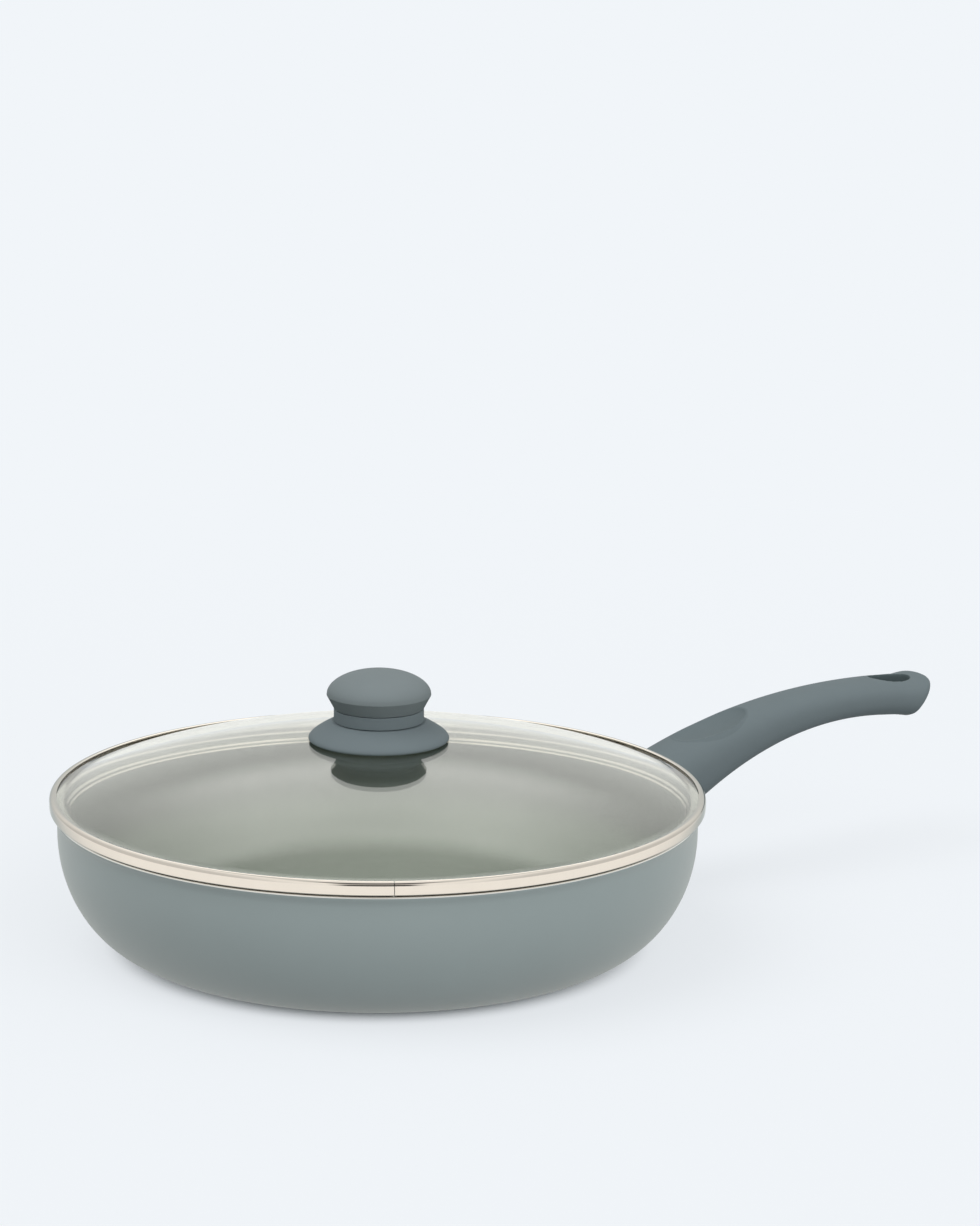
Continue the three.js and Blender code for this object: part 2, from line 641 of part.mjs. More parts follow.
function knobInsert() {
  const section = [
    new THREE.Vector2(0, INSERT_TOP - INSERT_CROWN),
    new THREE.Vector2(knobScrewHole, INSERT_TOP - INSERT_CROWN),
    new THREE.Vector2(knobScrewHole, STEM_BOTTOM),
    new THREE.Vector2(INSERT_RADIUS, STEM_BOTTOM),
    new THREE.Vector2(INSERT_RADIUS, INSERT_TOP),
    new THREE.Vector2(0, INSERT_TOP),
  ];
  return turned(section, SMALL_SIDES);
}

function knobSeal() {
  const top = domeFace(SEAL_RADIUS, knobScrewHole, GLASS_THICKNESS, SEAT_STEPS);
  const section = [
    new THREE.Vector2(knobScrewHole, SEAL_BOTTOM),
    new THREE.Vector2(SEAL_RADIUS, SEAL_BOTTOM),
    ...top.map((point) => new THREE.Vector2(point.x, point.y - CROWN - SEAT_GAP)),
  ];
  return turnedRing(section, SMALL_SIDES);
}

function knobWasher() {
  return washer(knobScrewHole, KNOB_WASHER_RADIUS, KNOB_WASHER_TOP - KNOB_WASHER_THICKNESS, KNOB_WASHER_TOP);
}

function knobScrew() {
  const tip = INSERT_TOP - INSERT_CROWN - KNOB_SCREW_TIP_GAP;
  return screw(KNOB_SCREW_RADIUS, KNOB_SCREW_HEAD_RADIUS, KNOB_SCREW_HEAD_HEIGHT, KNOB_SCREW_SEAT, tip);
}

// Finishes
const greyCoating = new THREE.MeshStandardMaterial({ color: 0x8a9598, roughness: 0.38, metalness: 0.1 });
const softTouch = new THREE.MeshStandardMaterial({ color: 0x6f7c7e, roughness: 0.62, metalness: 0 });
const clearGlass = new THREE.MeshStandardMaterial({
  color: 0xdfe8e2,
  roughness: 0.03,
  metalness: 0,
  transparent: true,
  opacity: 0.35,
});
const polishedSteel = new THREE.MeshStandardMaterial({ color: 0xd9d4c9, roughness: 0.14, metalness: 1 });
const brushedSteel = new THREE.MeshStandardMaterial({ color: 0xb9bbbc, roughness: 0.4, metalness: 1 });
const castAluminium = new THREE.MeshStandardMaterial({ color: 0xb4b6b8, roughness: 0.5, metalness: 1 });
const brass = new THREE.MeshStandardMaterial({ color: 0xc2a05a, roughness: 0.35, metalness: 1 });
const silicone = new THREE.MeshStandardMaterial({ color: 0x565b5c, roughness: 0.8, metalness: 0 });

// Assembly
function piece(name, solid, material) {
  const mesh = new THREE.Mesh(geometryOf(solid), material);
  mesh.name = name;
  return mesh;
}

const fixing = new THREE.Group();
fixing.applyMatrix4(gripScrewFrame);
fixing.add(
  piece("handle_screw", handleScrew(), brushedSteel),
  piece("handle_washer", handleWasher(), brushedSteel),
);

const pan = new THREE.Group();
pan.add(
  piece("pan_shell", panShell(), greyCoating),
  piece("base_plate", basePlate(), brushedSteel),
  piece("handle_bracket", handleBracket(), castAluminium),
  piece("handle_grip", handleGrip(), softTouch),
  fixing,
);

const knob = new THREE.Group();
knob.position.z = CROWN;
knob.add(
  piece("knob_gasket", knobGasket(), silicone),
  piece("knob_base", knobBase(), softTouch),
  piece("knob_collar", knobCollar(), softTouch),
  piece("knob_cap", knobCap(), softTouch),
  piece("knob_insert", knobInsert(), brass),
  piece("knob_seal", knobSeal(), silicone),
  piece("knob_washer", knobWasher(), brushedSteel),
  piece("knob_screw", knobScrew(), brushedSteel),
);

const lid = new THREE.Group();
lid.position.z = LID_SEAT;
lid.add(
  piece("lid_glass", lidGlass(), clearGlass),
  piece("lid_rim_band", lidRimBand(), polishedSteel),
  knob,
);

const fryingPan = new THREE.Group();
fryingPan.add(pan, lid);

export default fryingPan;
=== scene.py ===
"""A frying pan with a domed glass lid: its finished pieces, materials and photo stage."""

import math

import bmesh
import bpy
from bpy.props import FloatProperty, FloatVectorProperty, IntProperty, PointerProperty
from mathutils import Matrix, Vector


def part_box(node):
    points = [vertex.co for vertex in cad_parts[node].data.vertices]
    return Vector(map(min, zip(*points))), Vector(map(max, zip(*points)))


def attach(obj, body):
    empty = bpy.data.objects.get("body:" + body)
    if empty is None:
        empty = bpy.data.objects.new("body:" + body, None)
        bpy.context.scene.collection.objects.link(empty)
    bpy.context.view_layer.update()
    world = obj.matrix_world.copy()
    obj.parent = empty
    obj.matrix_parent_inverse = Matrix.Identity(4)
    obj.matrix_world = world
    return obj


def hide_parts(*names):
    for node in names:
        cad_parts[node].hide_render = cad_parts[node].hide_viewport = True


bl_info = {
    "name": "Frying Pan With Lid",
    "version": (1, 0, 0),
    "blender": (4, 5, 0),
    "location": "3D View > Sidebar > Cookware",
    "description": "Builds a coated frying pan with a soft-touch handle and a domed glass lid",
    "category": "Object",
}

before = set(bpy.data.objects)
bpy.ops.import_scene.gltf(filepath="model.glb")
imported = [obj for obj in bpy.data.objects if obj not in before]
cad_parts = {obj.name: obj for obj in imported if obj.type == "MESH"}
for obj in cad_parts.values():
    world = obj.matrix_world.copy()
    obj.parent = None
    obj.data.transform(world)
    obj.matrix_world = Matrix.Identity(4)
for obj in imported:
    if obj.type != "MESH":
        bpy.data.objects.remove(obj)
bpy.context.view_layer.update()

MM = 0.001
UP = Vector((0, 0, 1))
AXIS = Vector((0, 0, 0))
MERGE_DISTANCE = 0.002 * MM
SHARP_ANGLE = math.radians(35)
FIT_GAP = 0.3 * MM
SEAM = 1.15 * MM  # open seam that shows between rim and band

# Facets of the finished pieces
LARGE_STEPS = 240
KNOB_STEPS = 128
SMALL_STEPS = 64
DOME_STEPS = 48
CURVE_STEPS = 28
FILLET_STEPS = 6
GRIP_SIDES = 96
GRIP_RINGS = 120
TIP_RINGS = 40

# Grip: fullness of its sections and of its end, and the even mesh that softens its cuts
GRIP_SQUARENESS = 2.3
TIP_SQUARENESS = 1.75
GRIP_VOXEL = 0.5 * MM
GRIP_SMOOTHING = 5
SMOOTHING_FACTOR = 0.5

# Shares of a dark tint on the grip: a slightly darker tone over all of the open grip, and painted
# shade in its thumb rest and in its hang hole
PAINTED_SHADE = "recess"  # the mesh attribute that holds them
PAINTED_SHADE_MARGIN = 0.04
GRIP_SHADE = 0.09
REST_SHADE = 0.3
HOLE_SHADE = 1

# Small roundings and tapers
NECK_ROUND = 0.25 * MM
INSERT_ROUND = 0.3 * MM
FLANGE_ROUND = 0.4 * MM
SEAL_ROUND = 0.4 * MM
CREASE_ROUND = 0.5 * MM
CAP_START = 8  # degrees of the cap's dome that its crease takes up
SLOT_TAPER = (0.5, 0.7, 1, 1)

# Materials
GLASS_IOR = 1.5
# The coating's darker tint up the wall is painted shade
COATING_SHADE_TURN = (22 * MM, 38 * MM)  # heights between which the coating darkens

# Lamps: tilt from straight down and turn about the pan's axis, and spread, in degrees
KEY_TURN, KEY_SPREAD = (30, -80), 50
FILL_TURN, FILL_SPREAD = (66, 35), 60

# Distances from the pan's axis at which the floor's dark contact ends
CONTACT_SHADE = (102 * MM, 124 * MM)

# What mirrors see of the studio: heights and directions, as sines, between which an effect grows,
# its edges sideways from the line of sight, and the light that it adds or takes
WALLS, WALL_LEVEL = (0.0, 0.04), 0.96
SIDES, SIDE_LEVEL = (0.4, 0.8), -0.3
LAMP_FRONTS = (0.33, 0.47), (0.34, 0.12), 0.7
GAP_OVERHEAD = (0.7, 0.76), (0.4, 0.2), -0.68
ROOM_BEHIND_CAMERA = (0.2, 0.4), (0.3, 0.12), -1.2
DARKEST = 0.06


def reach_of(node):
    """Radius of a round node about the pan's axis."""
    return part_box(node)[1].y


def bottom_of(node):
    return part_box(node)[0].z


def top_of(node):
    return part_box(node)[1].z


# Sizes and colours that a user would change


def metres(name, description, default):
    return FloatProperty(
        name=name, description=description, default=default, unit="LENGTH", precision=4
    )


def mm(name, description, *values):
    """One length in millimetres, or a set of them."""
    default = [value * MM for value in values]
    if len(values) == 1:
        return metres(name, description, *default)
    return FloatVectorProperty(
        name=name,
        description=description,
        default=default,
        size=len(values),
        unit="LENGTH",
        precision=4,
    )


def degrees(name, description, default):
    return FloatProperty(
        name=name, description=description, default=math.radians(default), subtype="ANGLE"
    )


def colour(name, description, *default):
    return FloatVectorProperty(
        name=name, description=description, default=default, size=3, subtype="COLOR", min=0, max=1
    )


def factor(name, description, default):
    return FloatProperty(name=name, description=description, default=default, subtype="FACTOR")


def count(name, description, default):
    return IntProperty(name=name, description=description, default=default, min=1)


class PanSizes(bpy.types.PropertyGroup):
    """Sizes of the pan's body and of the steel plate in its base."""

    rim_radius: metres("Rim radius", "Radius of the flared rim", reach_of("pan_shell"))
    height: metres("Height", "Height of the rim over the hob", top_of("pan_shell") - SEAM)
    mouth_radius: mm("Mouth radius", "Inner radius of the upright wall", 138.4)
    wall: mm("Wall", "Thickness of the wall", 2.8)
    floor: mm("Floor", "Thickness of the floor", 4.2)
    corner_reach: mm("Corner reach", "How far the round corner sweeps in", 40.5)
    corner_rise: mm("Corner rise", "How high the round corner climbs", 52)
    rim_flare: mm("Rim flare", "How far the rim turns outwards", 1.6)
    flare_height: mm("Flare height", "Height of the flare below the rim's edge", 3.6)
    swell: mm("Swell", "How far the painted wall swells out", 0.5)
    rim_edge: mm("Rim edge", "Height of the rim's upright edge", 1.4)
    bare_edge: mm("Bare edge", "Bare metal at the top of that edge", 0.7)
    bare_depth: mm("Bare depth", "Bare metal inside the mouth", 1.2)
    edge_round: mm("Edge round", "Rounding of the rim's corners", 0.45)
    plate_radius: metres("Plate radius", "Radius of the steel plate", reach_of("base_plate"))
    plate_thickness: metres("Plate thickness", "Thickness of the plate", top_of("base_plate"))
    plate_hole: mm("Plate hole", "Radius of the plate's holes", 3.2)
    plate_edge: mm("Plate edge", "Metal outside the outermost holes", 6)
    plate_rings: count("Plate rings", "Rings of holes in the plate", 3)
    plate_step: count("Plate step", "Holes added with each ring", 6)

    @property
    def outer_radius(self):
        return self.rim_radius - self.rim_flare

    @property
    def flat_radius(self):
        return self.outer_radius - self.corner_reach

    @property
    def wall_top(self):
        return self.height - self.rim_edge - self.flare_height


class GripSizes(bpy.types.PropertyGroup):
    """Sizes of the arched grip, each set of four as the points of one Bezier curve."""

    root_inset: mm("Root inset", "Start of the centre line inside the wall", 11.2)
    root_drop: mm("Root drop", "Start of the centre line below the rim", 33.2)
    reach: mm("Reach", "Run of the centre line to the end's lower corner", 179.4)
    overrun: mm("Overrun", "Chin past the start of the centre line", 3)
    rises: mm("Rises", "Centre line over its start", 0, 39, 49.2, 40.8)
    widths: mm("Widths", "Width along the grip", 40, 34.3, 19.4, 34)
    thicknesses: mm("Thicknesses", "Thickness along the grip", 41.4, 23.7, 13.9, 19.3)
    tip: mm("Tip", "Slanted end past the lower corner", 11.6)
    tip_lift: mm("Tip lift", "Furthest point over the centre line", 8.4)
    tip_round: mm("Tip round", "Fullness of the rounding above that point", 5.8)
    tip_level: mm("Tip level", "Run of the top edge before it rounds down", 7)
    rest_setback: mm("Rest setback", "From the wall to the rest's middle", 51.5)
    rest_size: mm("Rest size", "Length, width and depth of the rest", 42, 25, 4.2)
    rest_tilt: degrees("Rest tilt", "How much deeper it gets towards the end", 5.73)
    hole_inset: mm("Hole inset", "Hang hole back from the centre line's end", 8)
    hole_size: mm("Hole size", "Length and width of the hang hole", 23.2, 16.2)
    saddle: mm("Saddle", "Width, height and thickness of the saddle", 26, 22, 4)
    tongue: mm("Tongue", "Length, root width, tip width and height", 36, 20, 13, 11)
    screw_setback: mm("Screw setback", "Screw along the tongue from the wall", 20)
    screw_land: mm("Screw land", "Grip wall between tongue and washer", 3.6)
    screw_engagement: mm("Screw engagement", "Screw length inside the tongue", 9)
    screw_radius: mm("Screw radius", "Radius of the screw's shank", 2.2)
    head_size: mm("Head size", "Radius and height of the screw's head", 4.4, 2.8)
    washer_size: mm("Washer size", "Radius and thickness of the washer", 5, 1)


class LidSizes(bpy.types.PropertyGroup):
    """Sizes of the domed glass and of the steel band round its edge."""

    band_radius: metres("Band radius", "Outer radius of the band", reach_of("lid_rim_band"))
    band_top: metres("Band top", "Height of the band's lip", top_of("lid_rim_band") + 0.3 * MM)
    skirt_bottom: metres("Skirt bottom", "Height of the hem", bottom_of("lid_rim_band"))
    seat: metres("Seat", "Height of the band's lower side", top_of("pan_shell") - 0.2 * MM)
    sheet: mm("Sheet", "Thickness of the band's steel", 0.45)
    bend: mm("Bend", "Bend radius at the band's lower corner", 1.1)
    lip_bend: mm("Lip bend", "Bend radius below the lip", 1.7)
    lip: mm("Lip", "Width of the lip over the glass", 3.1)
    lip_fall: mm("Lip fall", "How far the lip falls towards the glass", 0.65)
    skirt_clearance: mm("Skirt clearance", "Between skirt and mouth", 0.5)
    skirt_bend: mm("Skirt bend", "Bend radius above the skirt", 0.7)
    skirt_step: mm("Skirt step", "How far the lower skirt steps inwards", 0.8)
    skirt_step_depth: mm("Skirt step depth", "Depth of the step below the seat", 3.3)
    skirt_hem: mm("Skirt hem", "Turned-in edge of the skirt", 0.7)
    seam_gap: mm("Seam gap", "Gap where the band's ends meet", 0.3)
    seam_angle: degrees("Seam angle", "Where the band's ends meet", -121.4)
    glass_radius: metres("Glass radius", "Radius of the glass", reach_of("lid_glass"))
    glass_bottom: metres("Glass bottom", "Height of the glass's edge", bottom_of("lid_glass"))
    glass_thickness: mm("Glass thickness", "Thickness of the glass", 3.9)
    glass_flat: mm("Glass flat", "Flat edge of the glass in the band", 3.6)
    glass_round: mm("Glass round", "Rounding of the glass edge", 0.9)
    glass_hole: mm("Glass hole", "Radius of the hole under the knob", 4.6)
    dome_rise: mm("Dome rise", "Rise of the dome over its edge", 24.2)

    @property
    def crown(self):
        return self.glass_bottom + self.glass_thickness + self.dome_rise

    @property
    def dome_edge(self):
        return self.glass_radius - self.glass_flat

    @property
    def dome_radius(self):
        return (self.dome_edge**2 + self.dome_rise**2) / (2 * self.dome_rise)

    def dome_height(self, radius, inside):
        """Height of the outer face of the glass, or of a face inside it."""
        centre = self.crown - self.dome_radius
        return centre + math.sqrt((self.dome_radius - inside) ** 2 - radius**2)

    def dome_face(self, start, end, inside, steps, lift=0):
        """Points along such a face from one radius to another, or at a gap over it."""
        radii = [start + (end - start) * i / steps for i in range(steps + 1)]
        return [(radius, self.dome_height(radius, inside) + lift) for radius in radii]


class KnobSizes(bpy.types.PropertyGroup):
    """Sizes of the knob and of what clamps it to the glass."""

    flange_radius: metres("Flange radius", "Radius of the flange", reach_of("knob_base"))
    flange_edge: mm("Flange edge", "Rounding of the flange's lower edge", 0.75)
    flange_shoulder: mm("Flange shoulder", "From its top down to its shoulder", 5.2)
    flange_top_radius: mm("Flange top radius", "Radius where the neck stands", 20.9)
    flange_floor: mm("Flange floor", "Thickness under the stem", 2.5)
    neck_radius: metres("Neck radius", "Radius of the neck", reach_of("knob_collar"))
    cap_radius: metres("Cap radius", "Widest radius of the cap", reach_of("knob_cap"))
    cap_dome: mm("Cap dome", "Height of the cap's dome", 10.8)
    stem_radius: mm("Stem radius", "Radius of the cap's stem", 7.5)
    insert_radius: metres("Insert radius", "Radius of the insert", reach_of("knob_insert"))
    insert_crown: mm("Insert crown", "Closed end of the insert", 2)
    gasket_radius: metres("Gasket radius", "Radius of the gasket", reach_of("knob_gasket"))
    seal_radius: metres("Seal radius", "Radius of the lower seal", reach_of("knob_seal"))
    washer_radius: metres("Washer radius", "Radius of the washer", reach_of("knob_washer"))
    screw_radius: mm("Screw radius", "Radius of the screw's shank", 2.2)
    head_size: mm("Head size", "Radius and height of the screw's head", 4.4, 2.8)


class PanFinishes(bpy.types.PropertyGroup):
    """Colours of the pan's and the lid's finishes."""

    paint: colour("Paint", "Satin paint outside the pan", 0.293, 0.354, 0.357)
    coating: colour("Coating", "Non-stick coating in the pan", 0.226, 0.264, 0.226)
    # Painted shade: the same coating, made darker up the wall
    coating_wall_shade: colour("Coating wall", "That coating up the wall", 0.095, 0.11, 0.095)
    # Dark tint on the grip: a little of it all over, and painted shade in the hang hole and the
    # thumb rest
    core: colour("Core", "Moulding bared in the grip's recesses", 0.092, 0.122, 0.128)
    soft_touch: colour("Soft touch", "Soft-touch grip and knob", 0.172, 0.21, 0.223)
    # Painted light: the cap is the same soft touch as the grip and the rest of the knob, made
    # lighter
    cap_painted_light: colour("Cap touch", "Lighter cap of the knob", 0.212, 0.248, 0.256)
    aluminium: colour("Aluminium", "Bare turned aluminium", 0.8, 0.79, 0.76)
    band: colour("Band", "Polished steel band", 0.85, 0.775, 0.705)
    band_edge: colour("Band edge", "That band at a glancing angle", 0.5, 0.55, 0.58)
    steel: colour("Steel", "Brushed steel", 0.56, 0.56, 0.55)
    brass: colour("Brass", "Brass insert", 0.62, 0.44, 0.17)
    silicone: colour("Silicone", "Silicone gasket and seal", 0.045, 0.05, 0.05)
    glass: colour("Glass", "Tint of the glass", 0.955, 0.965, 0.925)


class StageSettings(bpy.types.PropertyGroup):
    """Camera, floor and light."""

    backdrop: colour("Backdrop", "Colour of floor and backdrop", 0.88, 0.913, 0.947)
    bounce: colour("Bounce", "Light that the floor throws up", 0.335, 0.343, 0.352)
    walls: colour("Walls", "The studio's walls in mirrors", 0.985, 0.995, 0.96)
    turn: degrees("Turn", "Handle's turn away from the picture plane", 34)
    camera_distance: metres("Camera distance", "Camera in front of the pan's axis", 1.5)
    camera_height: metres("Camera height", "Camera over the floor", 0.4743)
    camera_pitch: degrees("Camera pitch", "Downward tilt of the camera", 12.26)
    camera_yaw: degrees("Camera yaw", "Camera's turn to the right", 1.855)
    camera_roll: degrees("Camera roll", "Camera's roll", 0.611)
    camera_lens: FloatProperty(
        name="Camera lens", description="Focal length", default=102.73, unit="CAMERA"
    )
    floor_size: metres("Floor size", "Width of the floor", 60)
    fade_start: metres("Fade start", "Where the floor's shade starts to fade", 0.45)
    fade_end: metres("Fade end", "Where the floor's shade is gone", 1.1)
    shade_share: factor("Shade share", "Strength of the floor's shade", 0.25)
    ambient: factor("Ambient", "Light from all round", 0.55)
    key: factor("Key", "Strength of the key light", 1.0)
    fill: factor("Fill", "Strength of the fill light", 1.15)


# Shaping


def arc(centre, radii, start, end, steps):
    """Points of an ellipse's arc in a profile, angles in degrees from the +radius side."""
    (x, y), (width, height) = centre, radii
    angles = [math.radians(start + (end - start) * i / steps) for i in range(steps + 1)]
    return [(x + width * math.cos(angle), y + height * math.sin(angle)) for angle in angles]


def bezier(points, share):
    """Point of a Bezier curve through any number of control values or vectors."""
    points = list(points)
    while len(points) > 1:
        points = [a * (1 - share) + b * share for a, b in zip(points, points[1:])]
    return points[0]


def rounded(corners):
    """A profile of corners, each (radius, height) or (radius, height, rounding)."""
    line = []
    for i, corner in enumerate(corners):
        point = Vector(corner[:2])
        if len(corner) == 2:
            line.append(tuple(point))
            continue
        before = (Vector(corners[i - 1][:2]) - point).normalized()
        after = (Vector(corners[(i + 1) % len(corners)][:2]) - point).normalized()
        half = before.angle(after) / 2
        run = corner[2] / math.tan(half)
        centre = point + (before + after).normalized() * (corner[2] / math.sin(half))
        first = point + before * run - centre
        sweep = first.angle_signed(point + after * run - centre)
        for step in range(FILLET_STEPS + 1):
            turn = Matrix.Rotation(-sweep * step / FILLET_STEPS, 2)
            line.append(tuple(centre + turn @ first))
    return line


def turned(bm, line, steps, finish_index=0, start=0.0, angle=math.tau):
    """Spins an open profile line about the pan's axis and gives the new faces a finish."""
    before = set(bm.faces)
    turn = Matrix.Rotation(start, 3, "Z")
    points = [bm.verts.new(turn @ Vector((radius, 0, height))) for radius, height in line]
    edges = [bm.edges.new(pair) for pair in zip(points, points[1:])]
    whole = math.isclose(angle, math.tau)
    bmesh.ops.spin(
        bm, geom=points + edges, cent=AXIS, axis=UP, angle=angle, steps=steps, use_merge=whole
    )
    for face in set(bm.faces) - before:
        face.material_index = finish_index


def closed(bm):
    """Merges doubles and turns all faces outwards."""
    bmesh.ops.remove_doubles(bm, verts=bm.verts, dist=MERGE_DISTANCE)
    bmesh.ops.dissolve_degenerate(bm, dist=MERGE_DISTANCE, edges=bm.edges)
    bmesh.ops.recalc_face_normals(bm, faces=bm.faces)


def turned_ring(corners, steps, place=None):
    """A closed ring or plug turned from a profile with rounded corners."""
    bm = bmesh.new()
    line = rounded(corners)
    if min(radius for radius, _ in line) > MERGE_DISTANCE:
        line.append(line[0])
    turned(bm, line, steps)
    closed(bm)
    if place:
        bmesh.ops.transform(bm, matrix=place, verts=bm.verts)
    return bm


def only(kind, items):
    return [item for item in items if isinstance(item, kind)]


def thickened(bm, faces, thickness):
    """Makes a plate of flat faces, upwards."""
    raised = bmesh.ops.extrude_face_region(bm, geom=faces)["geom"]
    lifted = only(bmesh.types.BMVert, raised)
    bmesh.ops.translate(bm, vec=(0, 0, thickness), verts=lifted)
    bmesh.ops.recalc_face_normals(bm, faces=bm.faces)


def shade(mesh):
    mesh.shade_smooth()
    mesh.set_sharp_from_angle(angle=SHARP_ANGLE)


def new_piece(name, bm, *materials):
    """Makes the finished object of a bmesh, shaded smooth up to its sharp edges."""
    mesh = bpy.data.meshes.new(name)
    bm.to_mesh(mesh)
    bm.free()
    for material in materials:
        mesh.materials.append(material)
    shade(mesh)
    piece = bpy.data.objects.new(name, mesh)
    bpy.context.scene.collection.objects.link(piece)
    return piece


def add_modifier(piece, kind, **settings):
    modifier = piece.modifiers.new(kind.lower(), kind)
    for name, value in settings.items():
        setattr(modifier, name, value)


def apply_modifiers(piece):
    """Puts the result of a piece's modifiers into its mesh."""
    depsgraph = bpy.context.evaluated_depsgraph_get()
    finished = bpy.data.meshes.new_from_object(piece.evaluated_get(depsgraph))
    rough = piece.data
    piece.modifiers.clear()
    piece.data = finished
    bpy.data.meshes.remove(rough)
    finished.name = piece.name
    shade(finished)


def carve(piece, *cutters):
    """Cuts shapes out of a piece and removes them."""
    tools = [new_piece("cutter", bm) for bm in cutters]
    for tool in tools:
        add_modifier(piece, "BOOLEAN", operation="DIFFERENCE", solver="EXACT", object=tool)
    apply_modifiers(piece)
    if not piece.data.polygons:
        raise RuntimeError(f"nothing is left of {piece.name}")
    for tool in tools:
        mesh = tool.data
        bpy.data.objects.remove(tool)
        bpy.data.meshes.remove(mesh)


def stand_for(piece, node, body):
    """Lets a finished piece stand for its node, on its body."""
    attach(piece, body)
    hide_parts(node)


# Shader building


def feed(tree, node, inputs):
    """Sets a node's inputs to values, or links them to sockets."""
    for name, value in inputs.items():
        if isinstance(value, bpy.types.NodeSocket):
            tree.links.new(value, node.inputs[name])
        else:
            node.inputs[name].default_value = value


def add_node(tree, kind, inputs=None, **settings):
    """Adds a node with its settings and its inputs."""
    node = tree.nodes.new(kind)
    for name, value in settings.items():
        setattr(node, name, value)
    feed(tree, node, inputs or {})
    return node


def maths(tree, operation, *values):
    node = add_node(tree, "ShaderNodeMath", dict(enumerate(values)), operation=operation)
    return node.outputs[0]


def measure(tree, operation, *vectors):
    """A vector's length or a dot product."""
    node = add_node(tree, "ShaderNodeVectorMath", dict(enumerate(vectors)), operation=operation)
    return node.outputs["Value"]


def coordinates(tree, kind="Object"):
    return add_node(tree, "ShaderNodeTexCoord").outputs[kind]


def split(tree, vector):
    return add_node(tree, "ShaderNodeSeparateXYZ", {"Vector": vector}).outputs


def noise(tree, scale, **inputs):
    """Three-dimensional noise on the object."""
    inputs.update(Vector=coordinates(tree), Scale=scale)
    return add_node(tree, "ShaderNodeTexNoise", inputs).outputs["Fac"]


def eased(tree, value, start, end, low=0, high=1):
    """Goes smoothly from low to high as a value goes from start to end."""
    ends = {"From Min": start, "From Max": end, "To Min": low, "To Max": high}
    ends["Value"] = value
    ramp = add_node(tree, "ShaderNodeMapRange", ends, interpolation_type="SMOOTHSTEP")
    return ramp.outputs[0]


def blend(tree, share, first, second):
    """Colour that goes over from one tint to another."""
    inputs = {0: share, "A": first, "B": second}
    return add_node(tree, "ShaderNodeMix", inputs, data_type="RGBA").outputs["Result"]


def mix_shaders(tree, share, first, second):
    inputs = {0: share, 1: first, 2: second}
    return add_node(tree, "ShaderNodeMixShader", inputs).outputs[0]


def clear(tree, tint):
    return add_node(tree, "ShaderNodeBsdfTransparent", {"Color": opaque(tint)}).outputs[0]


def light_path(tree):
    return add_node(tree, "ShaderNodeLightPath").outputs


def backfacing(tree):
    return add_node(tree, "ShaderNodeNewGeometry").outputs["Backfacing"]


def opaque(tint):
    return (*tint, 1)


def new_material(name):
    material = bpy.data.materials.new(name)
    material.use_nodes = True
    return material


def principled(tree):
    return tree.nodes["Principled BSDF"]


def put_out(tree, shader):
    tree.links.new(shader, tree.nodes["Material Output"].inputs["Surface"])


# Shader groups, each filled by one function


def new_group(fill, result, inputs):
    """A shader group with named inputs and one named result."""
    group = bpy.data.node_groups.new(fill.__name__, "ShaderNodeTree")
    for label, way in [*((name, "INPUT") for name in inputs), (result, "OUTPUT")]:
        kind = "NodeSocketColor" if label == "Colour" else "NodeSocketFloat"
        group.interface.new_socket(label, in_out=way, socket_type=kind)
    made = fill(group, group.nodes.new("NodeGroupInput").outputs)
    group.links.new(made, group.nodes.new("NodeGroupOutput").inputs[result])
    return group


def effect(tree, fill, result, **values):
    """Result of a shader group that is made on its first use and shared."""
    group = bpy.data.node_groups.get(fill.__name__) or new_group(fill, result, values)
    return add_node(tree, "ShaderNodeGroup", values, node_tree=group).outputs[result]


def mottle(group, entry):
    """Faint cloudy variation of a colour."""
    cloud = noise(group, entry["Scale"], Detail=6, Roughness=0.6)
    swing = maths(group, "MULTIPLY", maths(group, "SUBTRACT", cloud, 0.5), entry["Amount"])
    tone = {"Value": maths(group, "MULTIPLY_ADD", swing, 2, 1), "Color": entry["Colour"]}
    return add_node(group, "ShaderNodeHueSaturation", tone).outputs["Color"]


def handling_marks(group, entry):
    """Roughness that varies softly, as handling and wiping leave it."""
    wiped = noise(group, entry["Scale"], Detail=8, Roughness=0.65, Distortion=0.6)
    swing = maths(group, "SUBTRACT", wiped, 0.5)
    return maths(group, "MULTIPLY_ADD", swing, entry["Amount"], entry["Roughness"])


def grain(group, entry):
    """Height of a fine sprayed or moulded grain."""
    return noise(group, entry["Scale"], Detail=3, Roughness=0.5)


def turned_rings(group, entry):
    """Height of fine rings round the pan's axis, as turning or rolling leaves them."""
    place = split(group, coordinates(group))
    flat = add_node(group, "ShaderNodeCombineXYZ", {"X": place["X"], "Y": place["Y"]})
    across = maths(group, "ADD", measure(group, "LENGTH", flat.outputs[0]), place["Z"])
    inputs = {"W": across, "Scale": entry["Scale"], "Detail": 2}
    return add_node(group, "ShaderNodeTexNoise", inputs, noise_dimensions="1D").outputs["Fac"]


def surface(tree, tint, clouds, marks, relief, **constants):
    """Gives a material a mottled tint, handling marks, a fine relief and its shader's constants.

    Clouds are a scale and an amount, marks a roughness, a scale and an amount, and the relief is
    a group with its scale and its depth in millimetres.
    """
    scale, amount = clouds
    tint = effect(tree, mottle, "Colour", Colour=tint, Scale=scale, Amount=amount)
    level, scale, amount = marks
    marks = {"Roughness": level, "Scale": scale, "Amount": amount}
    wear = effect(tree, handling_marks, "Roughness", **marks)
    fill, scale, depth = relief
    height = effect(tree, fill, "Height", Scale=scale)
    bump = {"Height": height, "Strength": 1, "Distance": depth * MM}
    normal = add_node(tree, "ShaderNodeBump", bump).outputs["Normal"]
    feed(tree, principled(tree), {"Base Color": tint, "Roughness": wear, "Normal": normal})
    for name, value in constants.items():
        principled(tree).inputs[name.replace("_", " ")].default_value = value


# Finishes


def finish(build):
    """A finish that is built once, under its function's name, and shared by its pieces."""
    name = build.__name__
    if name not in bpy.data.materials:
        build(new_material(name).node_tree, bpy.context.scene.pan_finishes)
    return bpy.data.materials[name]


